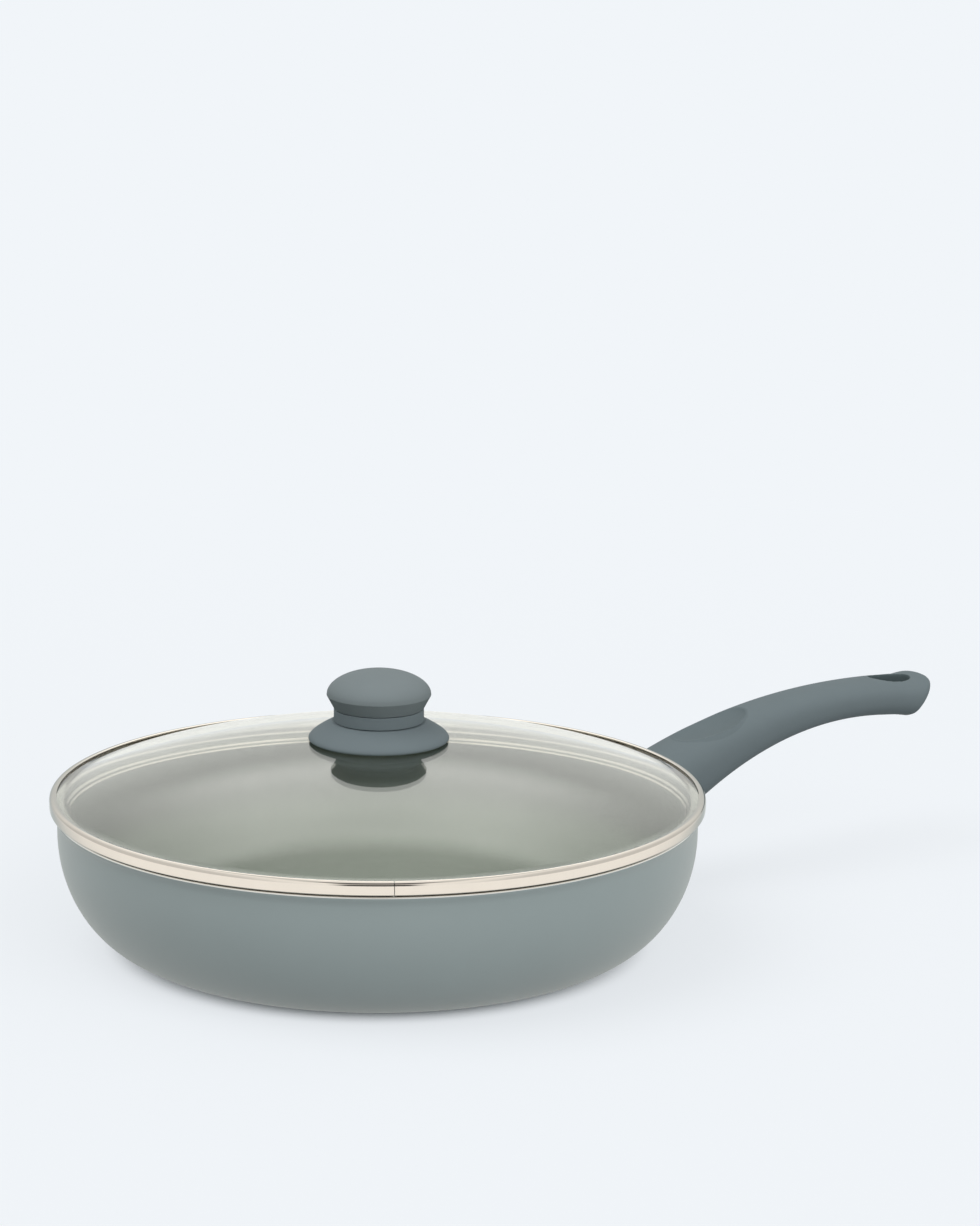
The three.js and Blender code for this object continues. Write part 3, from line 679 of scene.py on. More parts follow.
def satin_paint(tree, tints):
    tint = opaque(tints.paint)
    gloss = {"Specular_IOR_Level": 0.8, "Coat_Weight": 0.1, "Coat_Roughness": 0.25}
    surface(tree, tint, (45, 0.03), (0.4, 14, 0.08), (grain, 700, 0.012), **gloss)


def pan_coating(tree, tints):
    """Coating with painted shade that darkens it up the wall, lighter in the corner and on the
    floor.
    """
    height = eased(tree, split(tree, coordinates(tree))["Z"], *COATING_SHADE_TURN)
    tint = blend(tree, height, opaque(tints.coating), opaque(tints.coating_wall_shade))
    relief = (grain, 900, 0.006)
    surface(tree, tint, (320, 0.1), (0.24, 20, 0.08), relief, Specular_IOR_Level=0.6)


def soft_touch(tree, tint):
    """Matt skin of the grip and the knob."""
    relief = (grain, 2600, 0.012)
    surface(tree, tint, (60, 0.04), (0.72, 30, 0.1), relief, Specular_IOR_Level=0.12)


def soft_skin(tree, tints):
    """Soft touch with painted shade where the mesh notes a recess, and a slightly darker tone
    elsewhere on the grip.
    """
    recess = add_node(tree, "ShaderNodeAttribute", attribute_name=PAINTED_SHADE).outputs["Fac"]
    soft_touch(tree, blend(tree, recess, opaque(tints.soft_touch), opaque(tints.core)))


# Soft touch of the knob's cap, made lighter as painted light
def cap_skin_painted_light(tree, tints):
    soft_touch(tree, opaque(tints.cap_painted_light))


def matt_silicone(tree, tints):
    surface(tree, opaque(tints.silicone), (80, 0.08), (0.7, 40, 0.1), (grain, 1800, 0.01))


def rough_casting(tree, tints):
    tint = opaque(tints.aluminium)
    surface(tree, tint, (120, 0.12), (0.5, 60, 0.15), (grain, 900, 0.08), Metallic=1)


def rolled_metal(tree, tint, marks, fineness, depth, **constants):
    """Turned, rolled or brushed metal."""
    relief = (turned_rings, fineness, depth)
    surface(tree, opaque(tint), (90, 0.04), marks, relief, Metallic=1, **constants)


def bare_aluminium(tree, tints):
    rolled_metal(tree, tints.aluminium, (0.3, 40, 0.1), 5200, 0.02)


def polished_band(tree, tints):
    edge = opaque(tints.band_edge)
    rolled_metal(tree, tints.band, (0.07, 30, 0.04), 2600, 0.001, Specular_Tint=edge)


def brushed_sheet(tree, tints):
    rolled_metal(tree, tints.steel, (0.36, 60, 0.12), 4200, 0.02)


def turned_brass(tree, tints):
    rolled_metal(tree, tints.brass, (0.3, 60, 0.1), 3000, 0.02)


def lid_glass(tree, tints):
    """Clear glass that lets light through to what is under it."""
    shader = principled(tree)
    wear = effect(tree, handling_marks, "Roughness", Roughness=0.003, Scale=26, Amount=0.006)
    feed(tree, shader, {"Base Color": opaque(tints.glass), "Roughness": wear})
    feed(tree, shader, {"Transmission Weight": 1, "IOR": GLASS_IOR})
    path = light_path(tree)
    passing = maths(tree, "MAXIMUM", path["Is Shadow Ray"], path["Is Diffuse Ray"])
    bend = maths(tree, "MULTIPLY_ADD", backfacing(tree), 1 / GLASS_IOR - GLASS_IOR, GLASS_IOR)
    mirrored = add_node(tree, "ShaderNodeFresnel", {"IOR": bend}).outputs[0]
    through = mix_shaders(tree, mirrored, clear(tree, tints.glass), clear(tree, (0, 0, 0)))
    put_out(tree, mix_shaders(tree, passing, shader.outputs[0], through))


# Pan


class COOKWARE_OT_pan_body(bpy.types.Operator):
    """Turn the pan's body, painted outside, coated inside and bare on the rim and base."""

    bl_idname = "cookware.pan_body"
    bl_label = "Pan Body"

    def execute(self, context):
        pan = context.scene.pan_sizes
        recess = pan.plate_radius + FIT_GAP
        depth = pan.plate_thickness + FIT_GAP
        coating_top = pan.height - pan.bare_depth
        corner = (pan.flat_radius, pan.corner_rise)
        hollow = (pan.corner_reach - pan.wall, pan.corner_rise - pan.floor)
        wall = pan.outer_radius + pan.swell
        flare = [
            Vector((wall, pan.wall_top)),
            Vector((wall, pan.wall_top + pan.flare_height / 2)),
            Vector((pan.rim_radius, pan.height - pan.rim_edge)),
        ]
        outside = arc(corner, (wall - pan.flat_radius, pan.corner_rise), -90, 0, 2 * CURVE_STEPS)
        outside += [tuple(bezier(flare, i / FILLET_STEPS)) for i in range(FILLET_STEPS + 1)]
        outside.append((pan.rim_radius, pan.height - pan.bare_edge))
        rim = [
            (pan.rim_radius, pan.height - pan.bare_edge),
            (pan.rim_radius, pan.height, pan.edge_round),
            (pan.mouth_radius, pan.height, pan.edge_round),
            (pan.mouth_radius, coating_top),
        ]
        inside = [(pan.mouth_radius, coating_top)]
        inside += arc(corner, hollow, 0, -90, 2 * CURVE_STEPS)
        inside.append((0, pan.floor))
        base = [
            (0, depth),
            (recess, depth, pan.edge_round),
            (recess, 0, pan.edge_round),
            (pan.flat_radius, 0),
        ]
        bm = bmesh.new()
        for finish_index, line in enumerate((outside, rounded(rim), inside)):
            turned(bm, line, LARGE_STEPS, finish_index)
        turned(bm, rounded(base), LARGE_STEPS, 1)
        closed(bm)
        finishes = map(finish, (satin_paint, bare_aluminium, pan_coating))
        piece = new_piece("pan_body", bm, *finishes)
        stand_for(piece, "pan_shell", "pan")
        return {"FINISHED"}


class COOKWARE_OT_base_plate(bpy.types.Operator):
    """Cut the perforated steel plate that is pressed into the base."""

    bl_idname = "cookware.base_plate"
    bl_label = "Base Plate"

    def execute(self, context):
        pan = context.scene.pan_sizes
        bm = bmesh.new()
        bmesh.ops.create_circle(bm, segments=LARGE_STEPS, radius=pan.plate_radius)
        outermost = pan.plate_radius - pan.plate_edge - pan.plate_hole
        for ring in range(1, pan.plate_rings + 1):
            radius = outermost * ring / pan.plate_rings
            holes = pan.plate_step * ring
            for i in range(holes):
                turn = Matrix.Rotation(math.tau * i / holes, 4, "Z")
                place = turn @ Matrix.Translation((radius, 0, 0))
                bmesh.ops.create_circle(
                    bm, segments=SMALL_STEPS // 2, radius=pan.plate_hole, matrix=place
                )
        sheet = bmesh.ops.triangle_fill(bm, edges=bm.edges, use_beauty=True, use_dissolve=False)
        thickened(bm, only(bmesh.types.BMFace, sheet["geom"]), pan.plate_thickness)
        piece = new_piece("heat_plate", bm, finish(brushed_sheet))
        stand_for(piece, "base_plate", "pan")
        return {"FINISHED"}


# Handle


def upright_frame(point, along):
    """A frame in the pan's middle plane: X along a direction, Y across, Z out of the top."""
    return Matrix((
        (along.x, 0, -along.z, point.x),
        (0, 1, 0, 0),
        (along.z, 0, along.x, point.z),
        (0, 0, 0, 1),
    ))


class GripLine:
    """Centre line, sections and fittings of the grip."""

    def __init__(self, pan, grip):
        self.pan = pan
        self.grip = grip
        self.start = pan.outer_radius - grip.root_inset
        self.base = top_of("pan_shell") - grip.root_drop

    def point(self, share):
        height = self.base + bezier(self.grip.rises, share)
        return Vector((self.start + share * self.grip.reach, 0, height))

    def frame(self, share):
        steps = [b - a for a, b in zip(self.grip.rises, list(self.grip.rises)[1:])]
        along = Vector((self.grip.reach, 0, 3 * bezier(steps, share))).normalized()
        return upright_frame(self.point(share), along)

    def share_at(self, outside):
        """Share of the centre line at a distance outside the wall."""
        return (self.pan.outer_radius + outside - self.start) / self.grip.reach

    def body_ring(self, share):
        width = bezier(self.grip.widths, share) / 2
        thickness = bezier(self.grip.thicknesses, share) / 2
        return self.frame(share) @ Matrix.Diagonal((1, width, thickness, 1))

    def tip_ring(self, share):
        """One ring of the slanted end, which closes at its furthest point."""
        grip = self.grip
        half = grip.thicknesses[3] / 2
        furthest = Vector((grip.tip, 0, grip.tip_lift))
        level = Vector((grip.tip_level, 0, half))
        shoulder = Vector((grip.tip, 0, grip.tip_lift + grip.tip_round))
        top = bezier([Vector((0, 0, half)), level, shoulder, furthest], share)
        bottom = bezier([Vector((0, 0, -half)), furthest], share)
        lean = (top - bottom).normalized()
        turn = upright_frame((top + bottom) / 2, Vector((lean.z, 0, -lean.x)))
        width = grip.widths[3] / 2 * (1 - share**TIP_SQUARENESS) ** (1 / TIP_SQUARENESS)
        size = Matrix.Diagonal((1, width, (top - bottom).length / 2, 1))
        return self.frame(1) @ turn @ size

    def rings(self):
        """Placed sections from the chin to the tip."""
        chin = Matrix.Translation((-self.grip.overrun, 0, 0))
        made = [self.frame(0) @ chin @ self.frame(0).inverted() @ self.body_ring(0)]
        made += [self.body_ring(i / GRIP_RINGS) for i in range(GRIP_RINGS + 1)]
        shares = [math.sin(math.pi / 2 * i / TIP_RINGS) for i in range(1, TIP_RINGS)]
        made += [self.tip_ring(share) for share in shares]
        return made

    def tongue_frame(self):
        root = self.point(self.share_at(0))
        tip = self.point(self.share_at(self.grip.tongue[0]))
        return upright_frame(root, (tip - root).normalized())

    def screw_frame(self):
        return self.tongue_frame() @ Matrix.Translation((self.grip.screw_setback, 0, 0))

    def screw_seat(self):
        """Seat of the washer, from the tongue's middle."""
        return -(self.grip.tongue[3] / 2 + FIT_GAP + self.grip.screw_land)


def squared(value):
    """Rounds a cosine or sine out towards a square."""
    return math.copysign(abs(value) ** (2 / GRIP_SQUARENESS), value)


def grip_loft(line):
    """Extrudes a superellipse from ring to ring along the grip."""
    bm = bmesh.new()
    rings = line.rings()
    bmesh.ops.create_circle(bm, segments=GRIP_SIDES, radius=1)
    for vert in bm.verts:
        vert.co = (0, squared(vert.co.x), squared(vert.co.y))
    bmesh.ops.transform(bm, matrix=rings[0], verts=bm.verts)
    loop = list(bm.edges)
    bmesh.ops.edgeloop_fill(bm, edges=loop)
    for before, after in zip(rings, rings[1:]):
        grown = bmesh.ops.extrude_edge_only(bm, edges=loop)["geom"]
        loop = only(bmesh.types.BMEdge, grown)
        verts = only(bmesh.types.BMVert, grown)
        bmesh.ops.transform(bm, matrix=after @ before.inverted(), verts=verts)
    bmesh.ops.edgeloop_fill(bm, edges=loop)
    closed(bm)
    return bm


def pan_plug(pan, gap):
    """Everything within the pan's outside, grown by a gap."""
    corner = (pan.flat_radius, pan.corner_rise)
    line = [(0, -gap)]
    line += arc(corner, (pan.corner_reach + gap, pan.corner_rise + gap), -90, 0, CURVE_STEPS)
    line += [
        (pan.outer_radius + gap, pan.wall_top),
        (pan.rim_radius + gap, pan.height - pan.rim_edge),
        (pan.rim_radius + gap, pan.height + gap),
        (0, pan.height + gap),
    ]
    return turned_ring(line, LARGE_STEPS)


def cutter(create, place, *stretch, **settings):
    """A simple shape in a frame, stretched to a size and used to cut."""
    bm = bmesh.new()
    create(bm, matrix=place @ Matrix.Diagonal((*stretch, 1)), **settings)
    return bm


def oval_bar(place, size, depth):
    """An upright bar of oval section, used to cut a hole."""
    ends = {"cap_ends": True, "radius1": 0.5, "radius2": 0.5, "depth": 1}
    return cutter(bmesh.ops.create_cone, place, *size, depth, segments=SMALL_STEPS, **ends)


def round_bar(place, radius, bottom, top):
    """A round bar along Z, used to drill a hole."""
    middle = Matrix.Translation((0, 0, (bottom + top) / 2))
    return oval_bar(place @ middle, (2 * radius, 2 * radius), top - bottom)


def oval_dish(place, size):
    """An ellipsoid, used to press a dish into a face."""
    run, width, depth = size
    facets = {"u_segments": SMALL_STEPS, "v_segments": SMALL_STEPS // 2, "radius": 1}
    return cutter(bmesh.ops.create_uvsphere, place, run / 2, width / 2, depth, **facets)


def tongue_bar(line, gap):
    """The bracket's tongue grown by a gap: a tapered bar with a round end."""
    run, root, tip, height = line.grip.tongue
    half = tip / 2 + gap
    side = root / 2 + gap
    start, shoulder = -line.grip.saddle[1] / 2, line.grip.saddle[2]
    outline = [(start, -side), (shoulder, -side)]
    outline += arc((run + gap - half, 0), (half, half), -90, 90, FILLET_STEPS)
    outline += [(shoulder, side), (start, side)]
    bm = bmesh.new()
    floor = -height / 2 - gap
    face = bm.faces.new([bm.verts.new((x, y, floor)) for x, y in outline])
    thickened(bm, [face], height + 2 * gap)
    bmesh.ops.transform(bm, matrix=line.tongue_frame(), verts=bm.verts)
    return bm


def saddle_block(line, gap):
    """Room for the bracket's saddle against the wall."""
    width, height, thickness = line.grip.saddle
    depth = line.pan.corner_reach
    reach = line.pan.outer_radius + thickness + 2 * gap
    middle = Matrix.Translation((reach - depth / 2, 0, line.point(line.share_at(0)).z))
    size = (depth, width + 2 * gap, height + 2 * gap)
    return cutter(bmesh.ops.create_cube, middle, *size, size=1)


def paint_recess_shade(piece, *recesses):
    """Paints shade onto the mesh where it lies in oval recesses, each a frame, a size and a share
    of painted shade; the rest of the grip gets its slightly darker tone.
    """
    points = piece.data.vertices
    shades = [GRIP_SHADE] * len(points)
    for place, size, recess_shade in recesses:
        inverse = place.inverted()
        for i, point in enumerate(points):
            spot = inverse @ point.co
            across = math.hypot(2 * spot.x / size[0], 2 * spot.y / size[1])
            if across < 1 + PAINTED_SHADE_MARGIN and spot.z > -size[1] / 2:
                shades[i] = max(shades[i], recess_shade)
    note = piece.data.attributes.new(PAINTED_SHADE, "FLOAT", "POINT")
    note.data.foreach_set("value", shades)


class COOKWARE_OT_grip(bpy.types.Operator):
    """Loft the arched grip, with its thumb rest, hang hole and room for the bracket."""

    bl_idname = "cookware.grip"
    bl_label = "Grip"

    def execute(self, context):
        grip = context.scene.grip_sizes
        pan = context.scene.pan_sizes
        line = GripLine(pan, grip)
        piece = new_piece("grip", grip_loft(line), finish(soft_skin))
        rest = line.share_at(grip.rest_setback)
        crown = Matrix.Translation((0, 0, bezier(grip.thicknesses, rest) / 2))
        dish = line.frame(rest) @ crown @ Matrix.Rotation(grip.rest_tilt, 4, "Y")
        hole = line.frame(1 - grip.hole_inset / grip.reach)
        screw = line.screw_frame()
        seat = line.screw_seat()
        carve(
            piece,
            pan_plug(pan, FIT_GAP),
            tongue_bar(line, FIT_GAP),
            saddle_block(line, FIT_GAP),
            round_bar(screw, grip.washer_size[0] + FIT_GAP, -grip.thicknesses[0], seat),
            round_bar(screw, grip.screw_radius + FIT_GAP, seat - FIT_GAP, 0),
            oval_dish(dish, grip.rest_size),
            oval_bar(hole, grip.hole_size, 2 * grip.thicknesses[3]),
        )
        add_modifier(piece, "REMESH", mode="VOXEL", voxel_size=GRIP_VOXEL)
        add_modifier(piece, "SMOOTH", factor=SMOOTHING_FACTOR, iterations=GRIP_SMOOTHING)
        apply_modifiers(piece)
        # Painted shade in the hang hole and the thumb rest
        recesses = (hole, grip.hole_size, HOLE_SHADE), (dish, grip.rest_size, REST_SHADE)
        paint_recess_shade(piece, *recesses)
        stand_for(piece, "handle_grip", "pan")
        return {"FINISHED"}


def driver_slot(place, turn, face, radius, depth):
    """One tapered bar of a screwdriver's cross, opening downwards at a face below a frame."""
    place = place @ Matrix.Rotation(turn, 4, "Z") @ Matrix.Translation((0, 0, face))
    bm = cutter(bmesh.ops.create_cube, place, 2 * radius, radius / 2, 2 * depth, size=1)
    inner = [vert for vert in bm.verts if (place.inverted() @ vert.co).z > 0]
    taper = place @ Matrix.Diagonal(SLOT_TAPER) @ place.inverted()
    bmesh.ops.transform(bm, matrix=taper, verts=inner)
    return bm


def screw_piece(name, place, radius, head, seat, tip):
    """A pan-head screw that points up, with a cross recess in its head."""
    head_radius, head_height = head
    bottom = seat - head_height
    crown = (head_radius, head_height * 2 / 3)
    corners = [(0, bottom)]
    corners += arc((0, seat - head_height / 3), crown, -90, 0, CURVE_STEPS)[1:]
    corners += [(head_radius, seat), (radius, seat)]
    corners += [(radius, tip - radius / 2), (radius / 2, tip), (0, tip)]
    piece = new_piece(name, turned_ring(corners, SMALL_STEPS, place), finish(brushed_sheet))
    slot = (bottom, head_radius / 2, head_height / 2)
    carve(piece, *(driver_slot(place, turn, *slot) for turn in (0, math.pi / 2)))
    return piece


def washer_piece(name, place, bore, radius, bottom, top):
    """A flat steel ring with rounded edges."""
    rounding = (top - bottom) / 5
    sides = ((bore, bottom), (radius, bottom), (radius, top), (bore, top))
    corners = [(*corner, rounding) for corner in sides]
    return new_piece(name, turned_ring(corners, SMALL_STEPS, place), finish(brushed_sheet))


class COOKWARE_OT_grip_fixing(bpy.types.Operator):
    """Make the screw and washer under the grip, and finish the bracket inside it."""

    bl_idname = "cookware.grip_fixing"
    bl_label = "Grip Fixing"

    def execute(self, context):
        grip = context.scene.grip_sizes
        line = GripLine(context.scene.pan_sizes, grip)
        place = line.screw_frame()
        radius, thickness = grip.washer_size
        top = line.screw_seat() - FIT_GAP
        bottom = top - thickness
        bore = grip.screw_radius + FIT_GAP
        washer = washer_piece("grip_washer", place, bore, radius, bottom, top)
        stand_for(washer, "handle_washer", "pan")
        tip = grip.screw_engagement - grip.tongue[3] / 2
        seat = bottom - FIT_GAP
        screw = screw_piece("grip_screw", place, grip.screw_radius, grip.head_size, seat, tip)
        stand_for(screw, "handle_screw", "pan")
        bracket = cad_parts["handle_bracket"]
        bracket.material_slots[0].material = finish(rough_casting)
        return {"FINISHED"}


# Lid


def turned_piece(name, build, corners, steps, node):
    """A round piece of the lid."""
    piece = new_piece(name, turned_ring(corners, steps), finish(build))
    stand_for(piece, node, "lid")


class COOKWARE_OT_lid_glass(bpy.types.Operator):
    """Turn the domed glass with its flat edge and centre hole."""

    bl_idname = "cookware.lid_glass"
    bl_label = "Lid Glass"

    def execute(self, context):
        lid = context.scene.lid_sizes
        bottom = lid.glass_bottom
        top = bottom + lid.glass_thickness
        centre = lid.crown - lid.dome_radius
        inner = lid.dome_radius - lid.glass_thickness
        under_edge = math.sqrt(inner**2 - (bottom - centre) ** 2)
        corners = lid.dome_face(lid.glass_hole, under_edge, lid.glass_thickness, DOME_STEPS)
        corners += [(lid.glass_radius, height, lid.glass_round) for height in (bottom, top)]
        corners += lid.dome_face(lid.dome_edge, lid.glass_hole, 0, DOME_STEPS)
        turned_piece("dome_glass", lid_glass, corners, LARGE_STEPS, "lid_glass")
        return {"FINISHED"}


class COOKWARE_OT_lid_band(bpy.types.Operator):
    """Roll the steel band round the glass, with its skirt and its butt seam."""

    bl_idname = "cookware.lid_band"
    bl_label = "Lid Band"

    def execute(self, context):
        lid = context.scene.lid_sizes
        pan = context.scene.pan_sizes
        half = lid.sheet / 2
        outer = lid.band_radius - half
        skirt = pan.mouth_radius - lid.skirt_clearance - half
        step_top = lid.seat - lid.skirt_step_depth
        lower = skirt - lid.skirt_step
        hem = lid.skirt_bottom + half
        corners = [
            (lid.band_radius - lid.lip, lid.band_top - half - lid.lip_fall),
            (outer, lid.band_top - half, lid.lip_bend),
            (outer, lid.seat + half, lid.bend),
            (skirt, lid.seat + half, lid.skirt_bend),
            (skirt, step_top, half),
            (lower, step_top - lid.skirt_step, half),
            (lower, hem + lid.skirt_hem, half),
            (lower - lid.skirt_hem, hem),
        ]
        bm = bmesh.new()
        gap = lid.seam_gap / lid.band_radius
        start = lid.seam_angle + gap / 2
        turned(bm, rounded(corners), LARGE_STEPS, 0, start, math.tau - gap)
        bmesh.ops.recalc_face_normals(bm, faces=bm.faces)
        piece = new_piece("rim_band", bm, finish(polished_band))
        add_modifier(piece, "SOLIDIFY", thickness=lid.sheet, offset=0, use_even_offset=True)
        apply_modifiers(piece)
        stand_for(piece, "lid_rim_band", "lid")
        return {"FINISHED"}


# Knob


def knob_flange(knob, lid, bore, socket):
    """Profile of the flange, from its bore round to its socket."""
    low, high = top_of("knob_gasket") + FIT_GAP, top_of("knob_base")
    hollow = knob.gasket_radius + FIT_GAP
    edge = knob.flange_radius - knob.flange_edge
    under = lid.dome_face(hollow, edge, 0, FILLET_STEPS, FIT_GAP)
    edge_height = under[-1][1] + knob.flange_edge
    rounding = (knob.flange_edge, knob.flange_edge)
    face = [
        Vector((knob.flange_radius, edge_height)),
        Vector((knob.flange_radius, high - knob.flange_shoulder)),
        Vector((knob.flange_top_radius, high)),
    ]
    corners = [(bore, low), (hollow, low), *under]
    corners += arc((edge, edge_height), rounding, -90, 0, FILLET_STEPS)[1:]
    corners += [tuple(bezier(face, i / CURVE_STEPS)) for i in range(1, CURVE_STEPS)]
    corners += [(knob.flange_top_radius, high, FLANGE_ROUND), (socket, high)]
    corners += [(socket, low + knob.flange_floor), (bore, low + knob.flange_floor)]
    return corners


def knob_neck(knob, socket):
    low, high = bottom_of("knob_collar"), top_of("knob_collar")
    corners = [(knob.neck_radius, height, NECK_ROUND) for height in (low, high)]
    return [(socket, low), *corners, (socket, high)]


def knob_top(knob):
    """Profile of the cap, from the pocket in its stem round to the top of its dome."""
    low = top_of("knob_collar") + FIT_GAP
    crease = top_of("knob_cap") - knob.cap_dome
    pocket = knob.insert_radius + FIT_GAP
    roof = top_of("knob_insert") + FIT_GAP
    stem_low = bottom_of("knob_cap")
    corners = [(0, roof), (pocket, roof), (pocket, stem_low), (knob.stem_radius, stem_low)]
    corners += [(knob.stem_radius, low), (knob.neck_radius, low, NECK_ROUND)]
    corners += [(knob.cap_radius, crease, CREASE_ROUND)]
    dome = (knob.cap_radius, knob.cap_dome)
    return corners + arc((0, crease), dome, CAP_START, 90, CURVE_STEPS)


def flange_gasket(knob, lid, bore):
    top = top_of("knob_gasket")
    face = lid.dome_face(bore, knob.gasket_radius, 0, FILLET_STEPS, FIT_GAP)
    return [*face, (knob.gasket_radius, top), (bore, top)]


class COOKWARE_OT_knob(bpy.types.Operator):
    """Turn the knob's flange, neck and cap, and the gasket under them."""

    bl_idname = "cookware.knob"
    bl_label = "Knob"

    def execute(self, context):
        knob = context.scene.knob_sizes
        lid = context.scene.lid_sizes
        bore = knob.screw_radius + FIT_GAP
        socket = knob.stem_radius + FIT_GAP
        flange = knob_flange(knob, lid, bore, socket)
        neck = knob_neck(knob, socket)
        gasket = flange_gasket(knob, lid, bore)
        for name, build, corners, node, slot in (
            ("knob_flange", soft_skin, flange, "knob_base", "soft_touch"),
            ("knob_neck", soft_skin, neck, "knob_collar", "soft_touch"),
            ("knob_top", cap_skin_painted_light, knob_top(knob), "knob_cap", "soft_touch"),
            ("flange_gasket", matt_silicone, gasket, "knob_gasket", "silicone"),
        ):
            turned_piece(name, build, corners, KNOB_STEPS, node)
        return {"FINISHED"}


def thread_insert(knob, bore):
    low, high = bottom_of("knob_insert"), top_of("knob_insert")
    crown = high - knob.insert_crown
    corners = [(knob.insert_radius, height, INSERT_ROUND) for height in (low, high)]
    return [(0, crown), (bore, crown), (bore, low), *corners, (0, high)]


def under_seal(knob, lid, bore):
    low = bottom_of("knob_seal")
    face = lid.dome_face(knob.seal_radius, bore, lid.glass_thickness, FILLET_STEPS, -FIT_GAP)
    return [(bore, low), (knob.seal_radius, low, SEAL_ROUND), *face]


class COOKWARE_OT_knob_fixing(bpy.types.Operator):
    """Make the insert, seal, washer and screw that clamp the knob to the glass."""

    bl_idname = "cookware.knob_fixing"
    bl_label = "Knob Fixing"

    def execute(self, context):
        knob = context.scene.knob_sizes
        bore = knob.screw_radius + FIT_GAP
        insert = thread_insert(knob, bore)
        seal = under_seal(knob, context.scene.lid_sizes, bore)
        for name, build, corners, node, slot in (
            ("thread_insert", turned_brass, insert, "knob_insert", "brass"),
            ("under_seal", matt_silicone, seal, "knob_seal", "silicone"),
        ):
            turned_piece(name, build, corners, SMALL_STEPS, node)
        low, high = bottom_of("knob_washer"), top_of("knob_washer")
        place = Matrix.Identity(4)
        washer = washer_piece("under_washer", place, bore, knob.washer_radius, low, high)
        stand_for(washer, "knob_washer", "lid")
        seat, tip = low - FIT_GAP, top_of("knob_screw")
        screw = screw_piece("under_screw", place, knob.screw_radius, knob.head_size, seat, tip)
        stand_for(screw, "knob_screw", "lid")
        return {"FINISHED"}


# Stage


def seen_in_glass(tree):
    """One for rays that come from a mirror or through glass."""
    path = light_path(tree)
    return maths(tree, "MAXIMUM", path["Is Glossy Ray"], path["Is Transmission Ray"])


def seen_directly(tree):
    """One for rays that see, mirror or look through to the backdrop, zero for scattered light."""
    return maths(tree, "MAXIMUM", light_path(tree)["Is Camera Ray"], seen_in_glass(tree))


def pale_floor(stage):
    """Pale floor whose shade fades out into an even backdrop, clear when seen from below."""
    material = new_material("pale_floor")
    tree = material.node_tree
    shader = principled(tree)
    pale = blend(tree, seen_in_glass(tree), opaque(stage.backdrop), opaque(stage.walls))
    tone = blend(tree, seen_directly(tree), opaque(stage.bounce), pale)
    feed(tree, shader, {"Base Color": tone, "Roughness": 0.9, "Specular IOR Level": 0})
    away = measure(tree, "LENGTH", coordinates(tree))
    fade = eased(tree, away, stage.fade_start, stage.fade_end, 1 - stage.shade_share)
    contact = maths(tree, "MAXIMUM", eased(tree, away, *CONTACT_SHADE), seen_in_glass(tree))
    clear_of_pan = maths(tree, "MULTIPLY", fade, contact)
    even = maths(tree, "MULTIPLY", clear_of_pan, seen_directly(tree))
    glow = add_node(tree, "ShaderNodeEmission", {"Color": pale, "Strength": 1})
    lit = mix_shaders(tree, even, shader.outputs[0], glow.outputs[0])
    put_out(tree, mix_shaders(tree, backfacing(tree), lit, clear(tree, (1, 1, 1))))
    return material


def studio_walls(tree, stage):
    """What mirrors see: the backdrop, light walls and bright lamps over it, and dark gaps."""
    place = coordinates(tree, "Generated")
    height = split(tree, place)["Z"]
    aside = (math.cos(stage.turn), -math.sin(stage.turn), 0)
    onward = (-math.sin(stage.turn), -math.cos(stage.turn), 0)
    off = maths(tree, "ABSOLUTE", measure(tree, "DOT_PRODUCT", place, aside))
    ahead = measure(tree, "DOT_PRODUCT", place, onward)
    level = maths(tree, "MULTIPLY_ADD", eased(tree, off, *SIDES), SIDE_LEVEL, WALL_LEVEL)
    for value, (span, edge, change) in (
        (height, LAMP_FRONTS),
        (height, GAP_OVERHEAD),
        (ahead, ROOM_BEHIND_CAMERA),
    ):
        mask = maths(tree, "MULTIPLY", eased(tree, value, *span), eased(tree, off, *edge))
        level = maths(tree, "MULTIPLY_ADD", mask, change, level)
    rise = eased(tree, height, *WALLS)
    tone = blend(tree, rise, opaque(stage.backdrop), opaque(stage.walls))
    inputs = {"Color": tone, "Strength": maths(tree, "MAXIMUM", level, DARKEST)}
    return add_node(tree, "ShaderNodeBackground", inputs).outputs[0]


def studio(stage):
    """Even light from all round, the backdrop where it is seen and the walls in mirrors."""
    world = bpy.data.worlds.new("studio")
    world.use_nodes = True
    tree = world.node_tree
    light = tree.nodes["Background"]
    feed(tree, light, {"Color": (1, 1, 1, 1), "Strength": stage.ambient})
    seen = add_node(
        tree, "ShaderNodeBackground", {"Color": opaque(stage.backdrop), "Strength": 1}
    )
    walls = studio_walls(tree, stage)
    mirrored = mix_shaders(tree, seen_directly(tree), light.outputs[0], walls)
    mixed = mix_shaders(tree, light_path(tree)["Is Camera Ray"], mirrored, seen.outputs[0])
    tree.links.new(mixed, tree.nodes["World Output"].inputs["Surface"])
    return world


def add_soft_light(name, stage, turn, spread, energy):
    """A wide, even light from one side."""
    lamp = bpy.data.lights.new(name, "SUN")
    lamp.angle = math.radians(spread)
    lamp.energy = energy
    light = bpy.data.objects.new(name, lamp)
    light.visible_glossy = False
    light.visible_transmission = False
    tilt = Matrix.Rotation(math.radians(turn[0]), 4, "X")
    swing = Matrix.Rotation(math.radians(turn[1]) - stage.turn, 4, "Z")
    light.matrix_world = swing @ tilt
    bpy.context.scene.collection.objects.link(light)


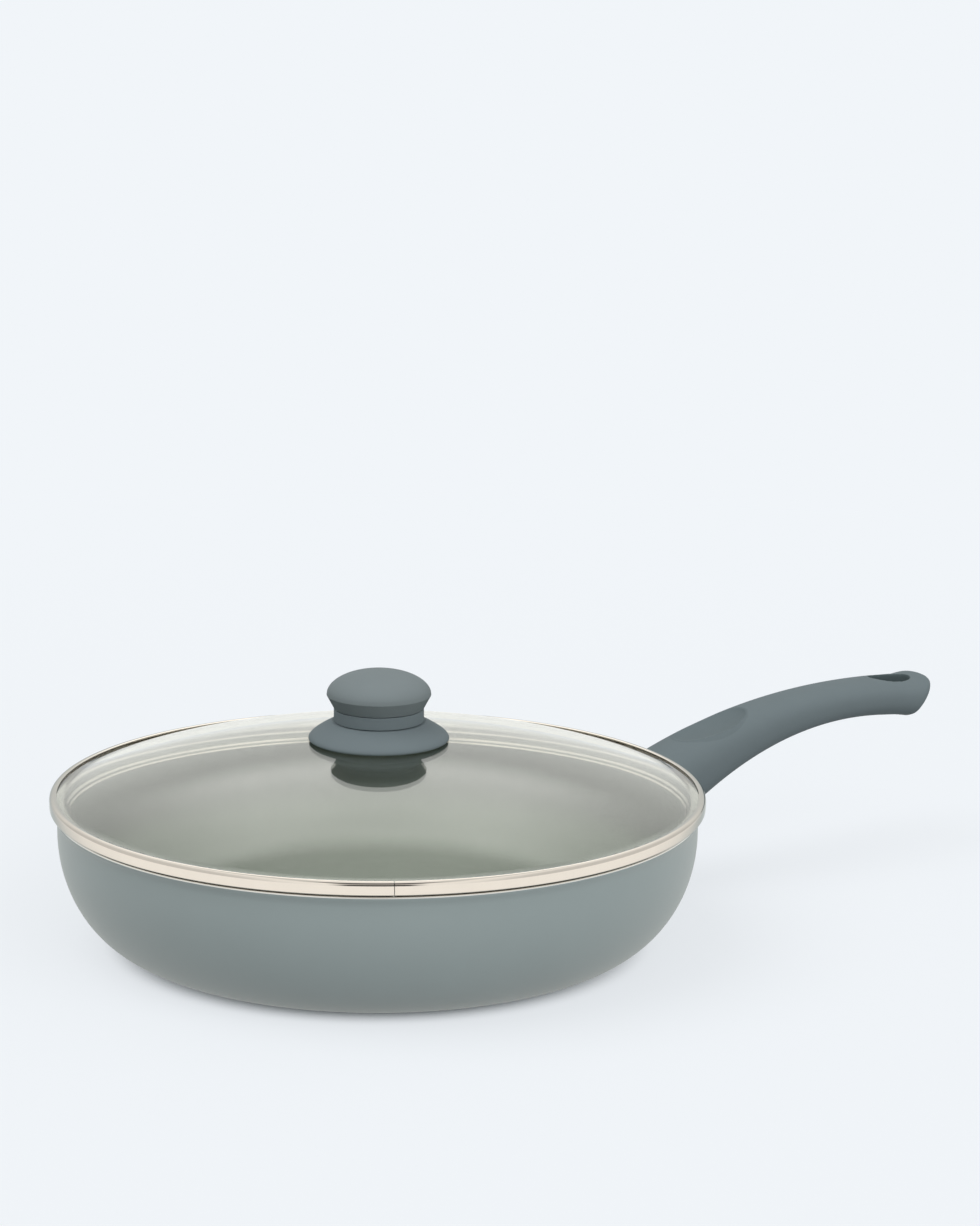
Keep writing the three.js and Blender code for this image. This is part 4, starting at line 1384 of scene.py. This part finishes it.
class COOKWARE_OT_stage(bpy.types.Operator):
    """Set up the floor, the light and the camera."""

    bl_idname = "cookware.stage"
    bl_label = "Stage"

    def execute(self, context):
        scene = context.scene
        stage = scene.stage_settings
        bm = bmesh.new()
        bmesh.ops.create_grid(bm, x_segments=2, y_segments=2, size=stage.floor_size / 2)
        floor = new_piece("floor", bm, pale_floor(stage))
        scene.world = studio(stage)
        add_soft_light("key_light", stage, KEY_TURN, KEY_SPREAD, stage.key)
        add_soft_light("fill_light", stage, FILL_TURN, FILL_SPREAD, stage.fill)
        camera = bpy.data.objects.new("camera", bpy.data.cameras.new("camera"))
        camera.data.lens = stage.camera_lens
        camera.data.clip_end = stage.floor_size * 2
        turn = Matrix.Rotation(-stage.turn, 4, "Z")
        place = Matrix.Translation((0, -stage.camera_distance, stage.camera_height))
        yaw = Matrix.Rotation(-stage.camera_yaw, 4, "Z")
        pitch = Matrix.Rotation(math.pi / 2 - stage.camera_pitch, 4, "X")
        roll = Matrix.Rotation(stage.camera_roll, 4, "Z")
        camera.matrix_world = turn @ place @ yaw @ pitch @ roll
        scene.collection.objects.link(camera)
        scene.camera = camera
        scene.view_settings.view_transform = "Standard"
        return {"FINISHED"}


# Add-on


class COOKWARE_PT_pan(bpy.types.Panel):
    """Lists the pieces of the pan, the lid and the stage."""

    bl_label = "Frying Pan With Lid"
    bl_idname = "COOKWARE_PT_pan"
    bl_space_type = "VIEW_3D"
    bl_region_type = "UI"
    bl_category = "Cookware"

    def draw(self, context):
        for operator in OPERATORS:
            self.layout.operator(operator.bl_idname)


SETTINGS = {
    "pan_sizes": PanSizes,
    "grip_sizes": GripSizes,
    "lid_sizes": LidSizes,
    "knob_sizes": KnobSizes,
    "pan_finishes": PanFinishes,
    "stage_settings": StageSettings,
}
OPERATORS = (
    COOKWARE_OT_stage,
    COOKWARE_OT_pan_body,
    COOKWARE_OT_base_plate,
    COOKWARE_OT_grip,
    COOKWARE_OT_grip_fixing,
    COOKWARE_OT_lid_glass,
    COOKWARE_OT_lid_band,
    COOKWARE_OT_knob,
    COOKWARE_OT_knob_fixing,
)
CLASSES = (*SETTINGS.values(), *OPERATORS, COOKWARE_PT_pan)


def register():
    for cls in CLASSES:
        bpy.utils.register_class(cls)
    for name, settings in SETTINGS.items():
        setattr(bpy.types.Scene, name, PointerProperty(type=settings))


def unregister():
    for name in SETTINGS:
        delattr(bpy.types.Scene, name)
    for cls in reversed(CLASSES):
        bpy.utils.unregister_class(cls)


def main():
    register()
    bpy.ops.cookware.stage()
    bpy.ops.cookware.pan_body()
    bpy.ops.cookware.base_plate()
    bpy.ops.cookware.grip()
    bpy.ops.cookware.grip_fixing()
    bpy.ops.cookware.lid_glass()
    bpy.ops.cookware.lid_band()
    bpy.ops.cookware.knob()
    bpy.ops.cookware.knob_fixing()


if __name__ == "__main__":
    main()
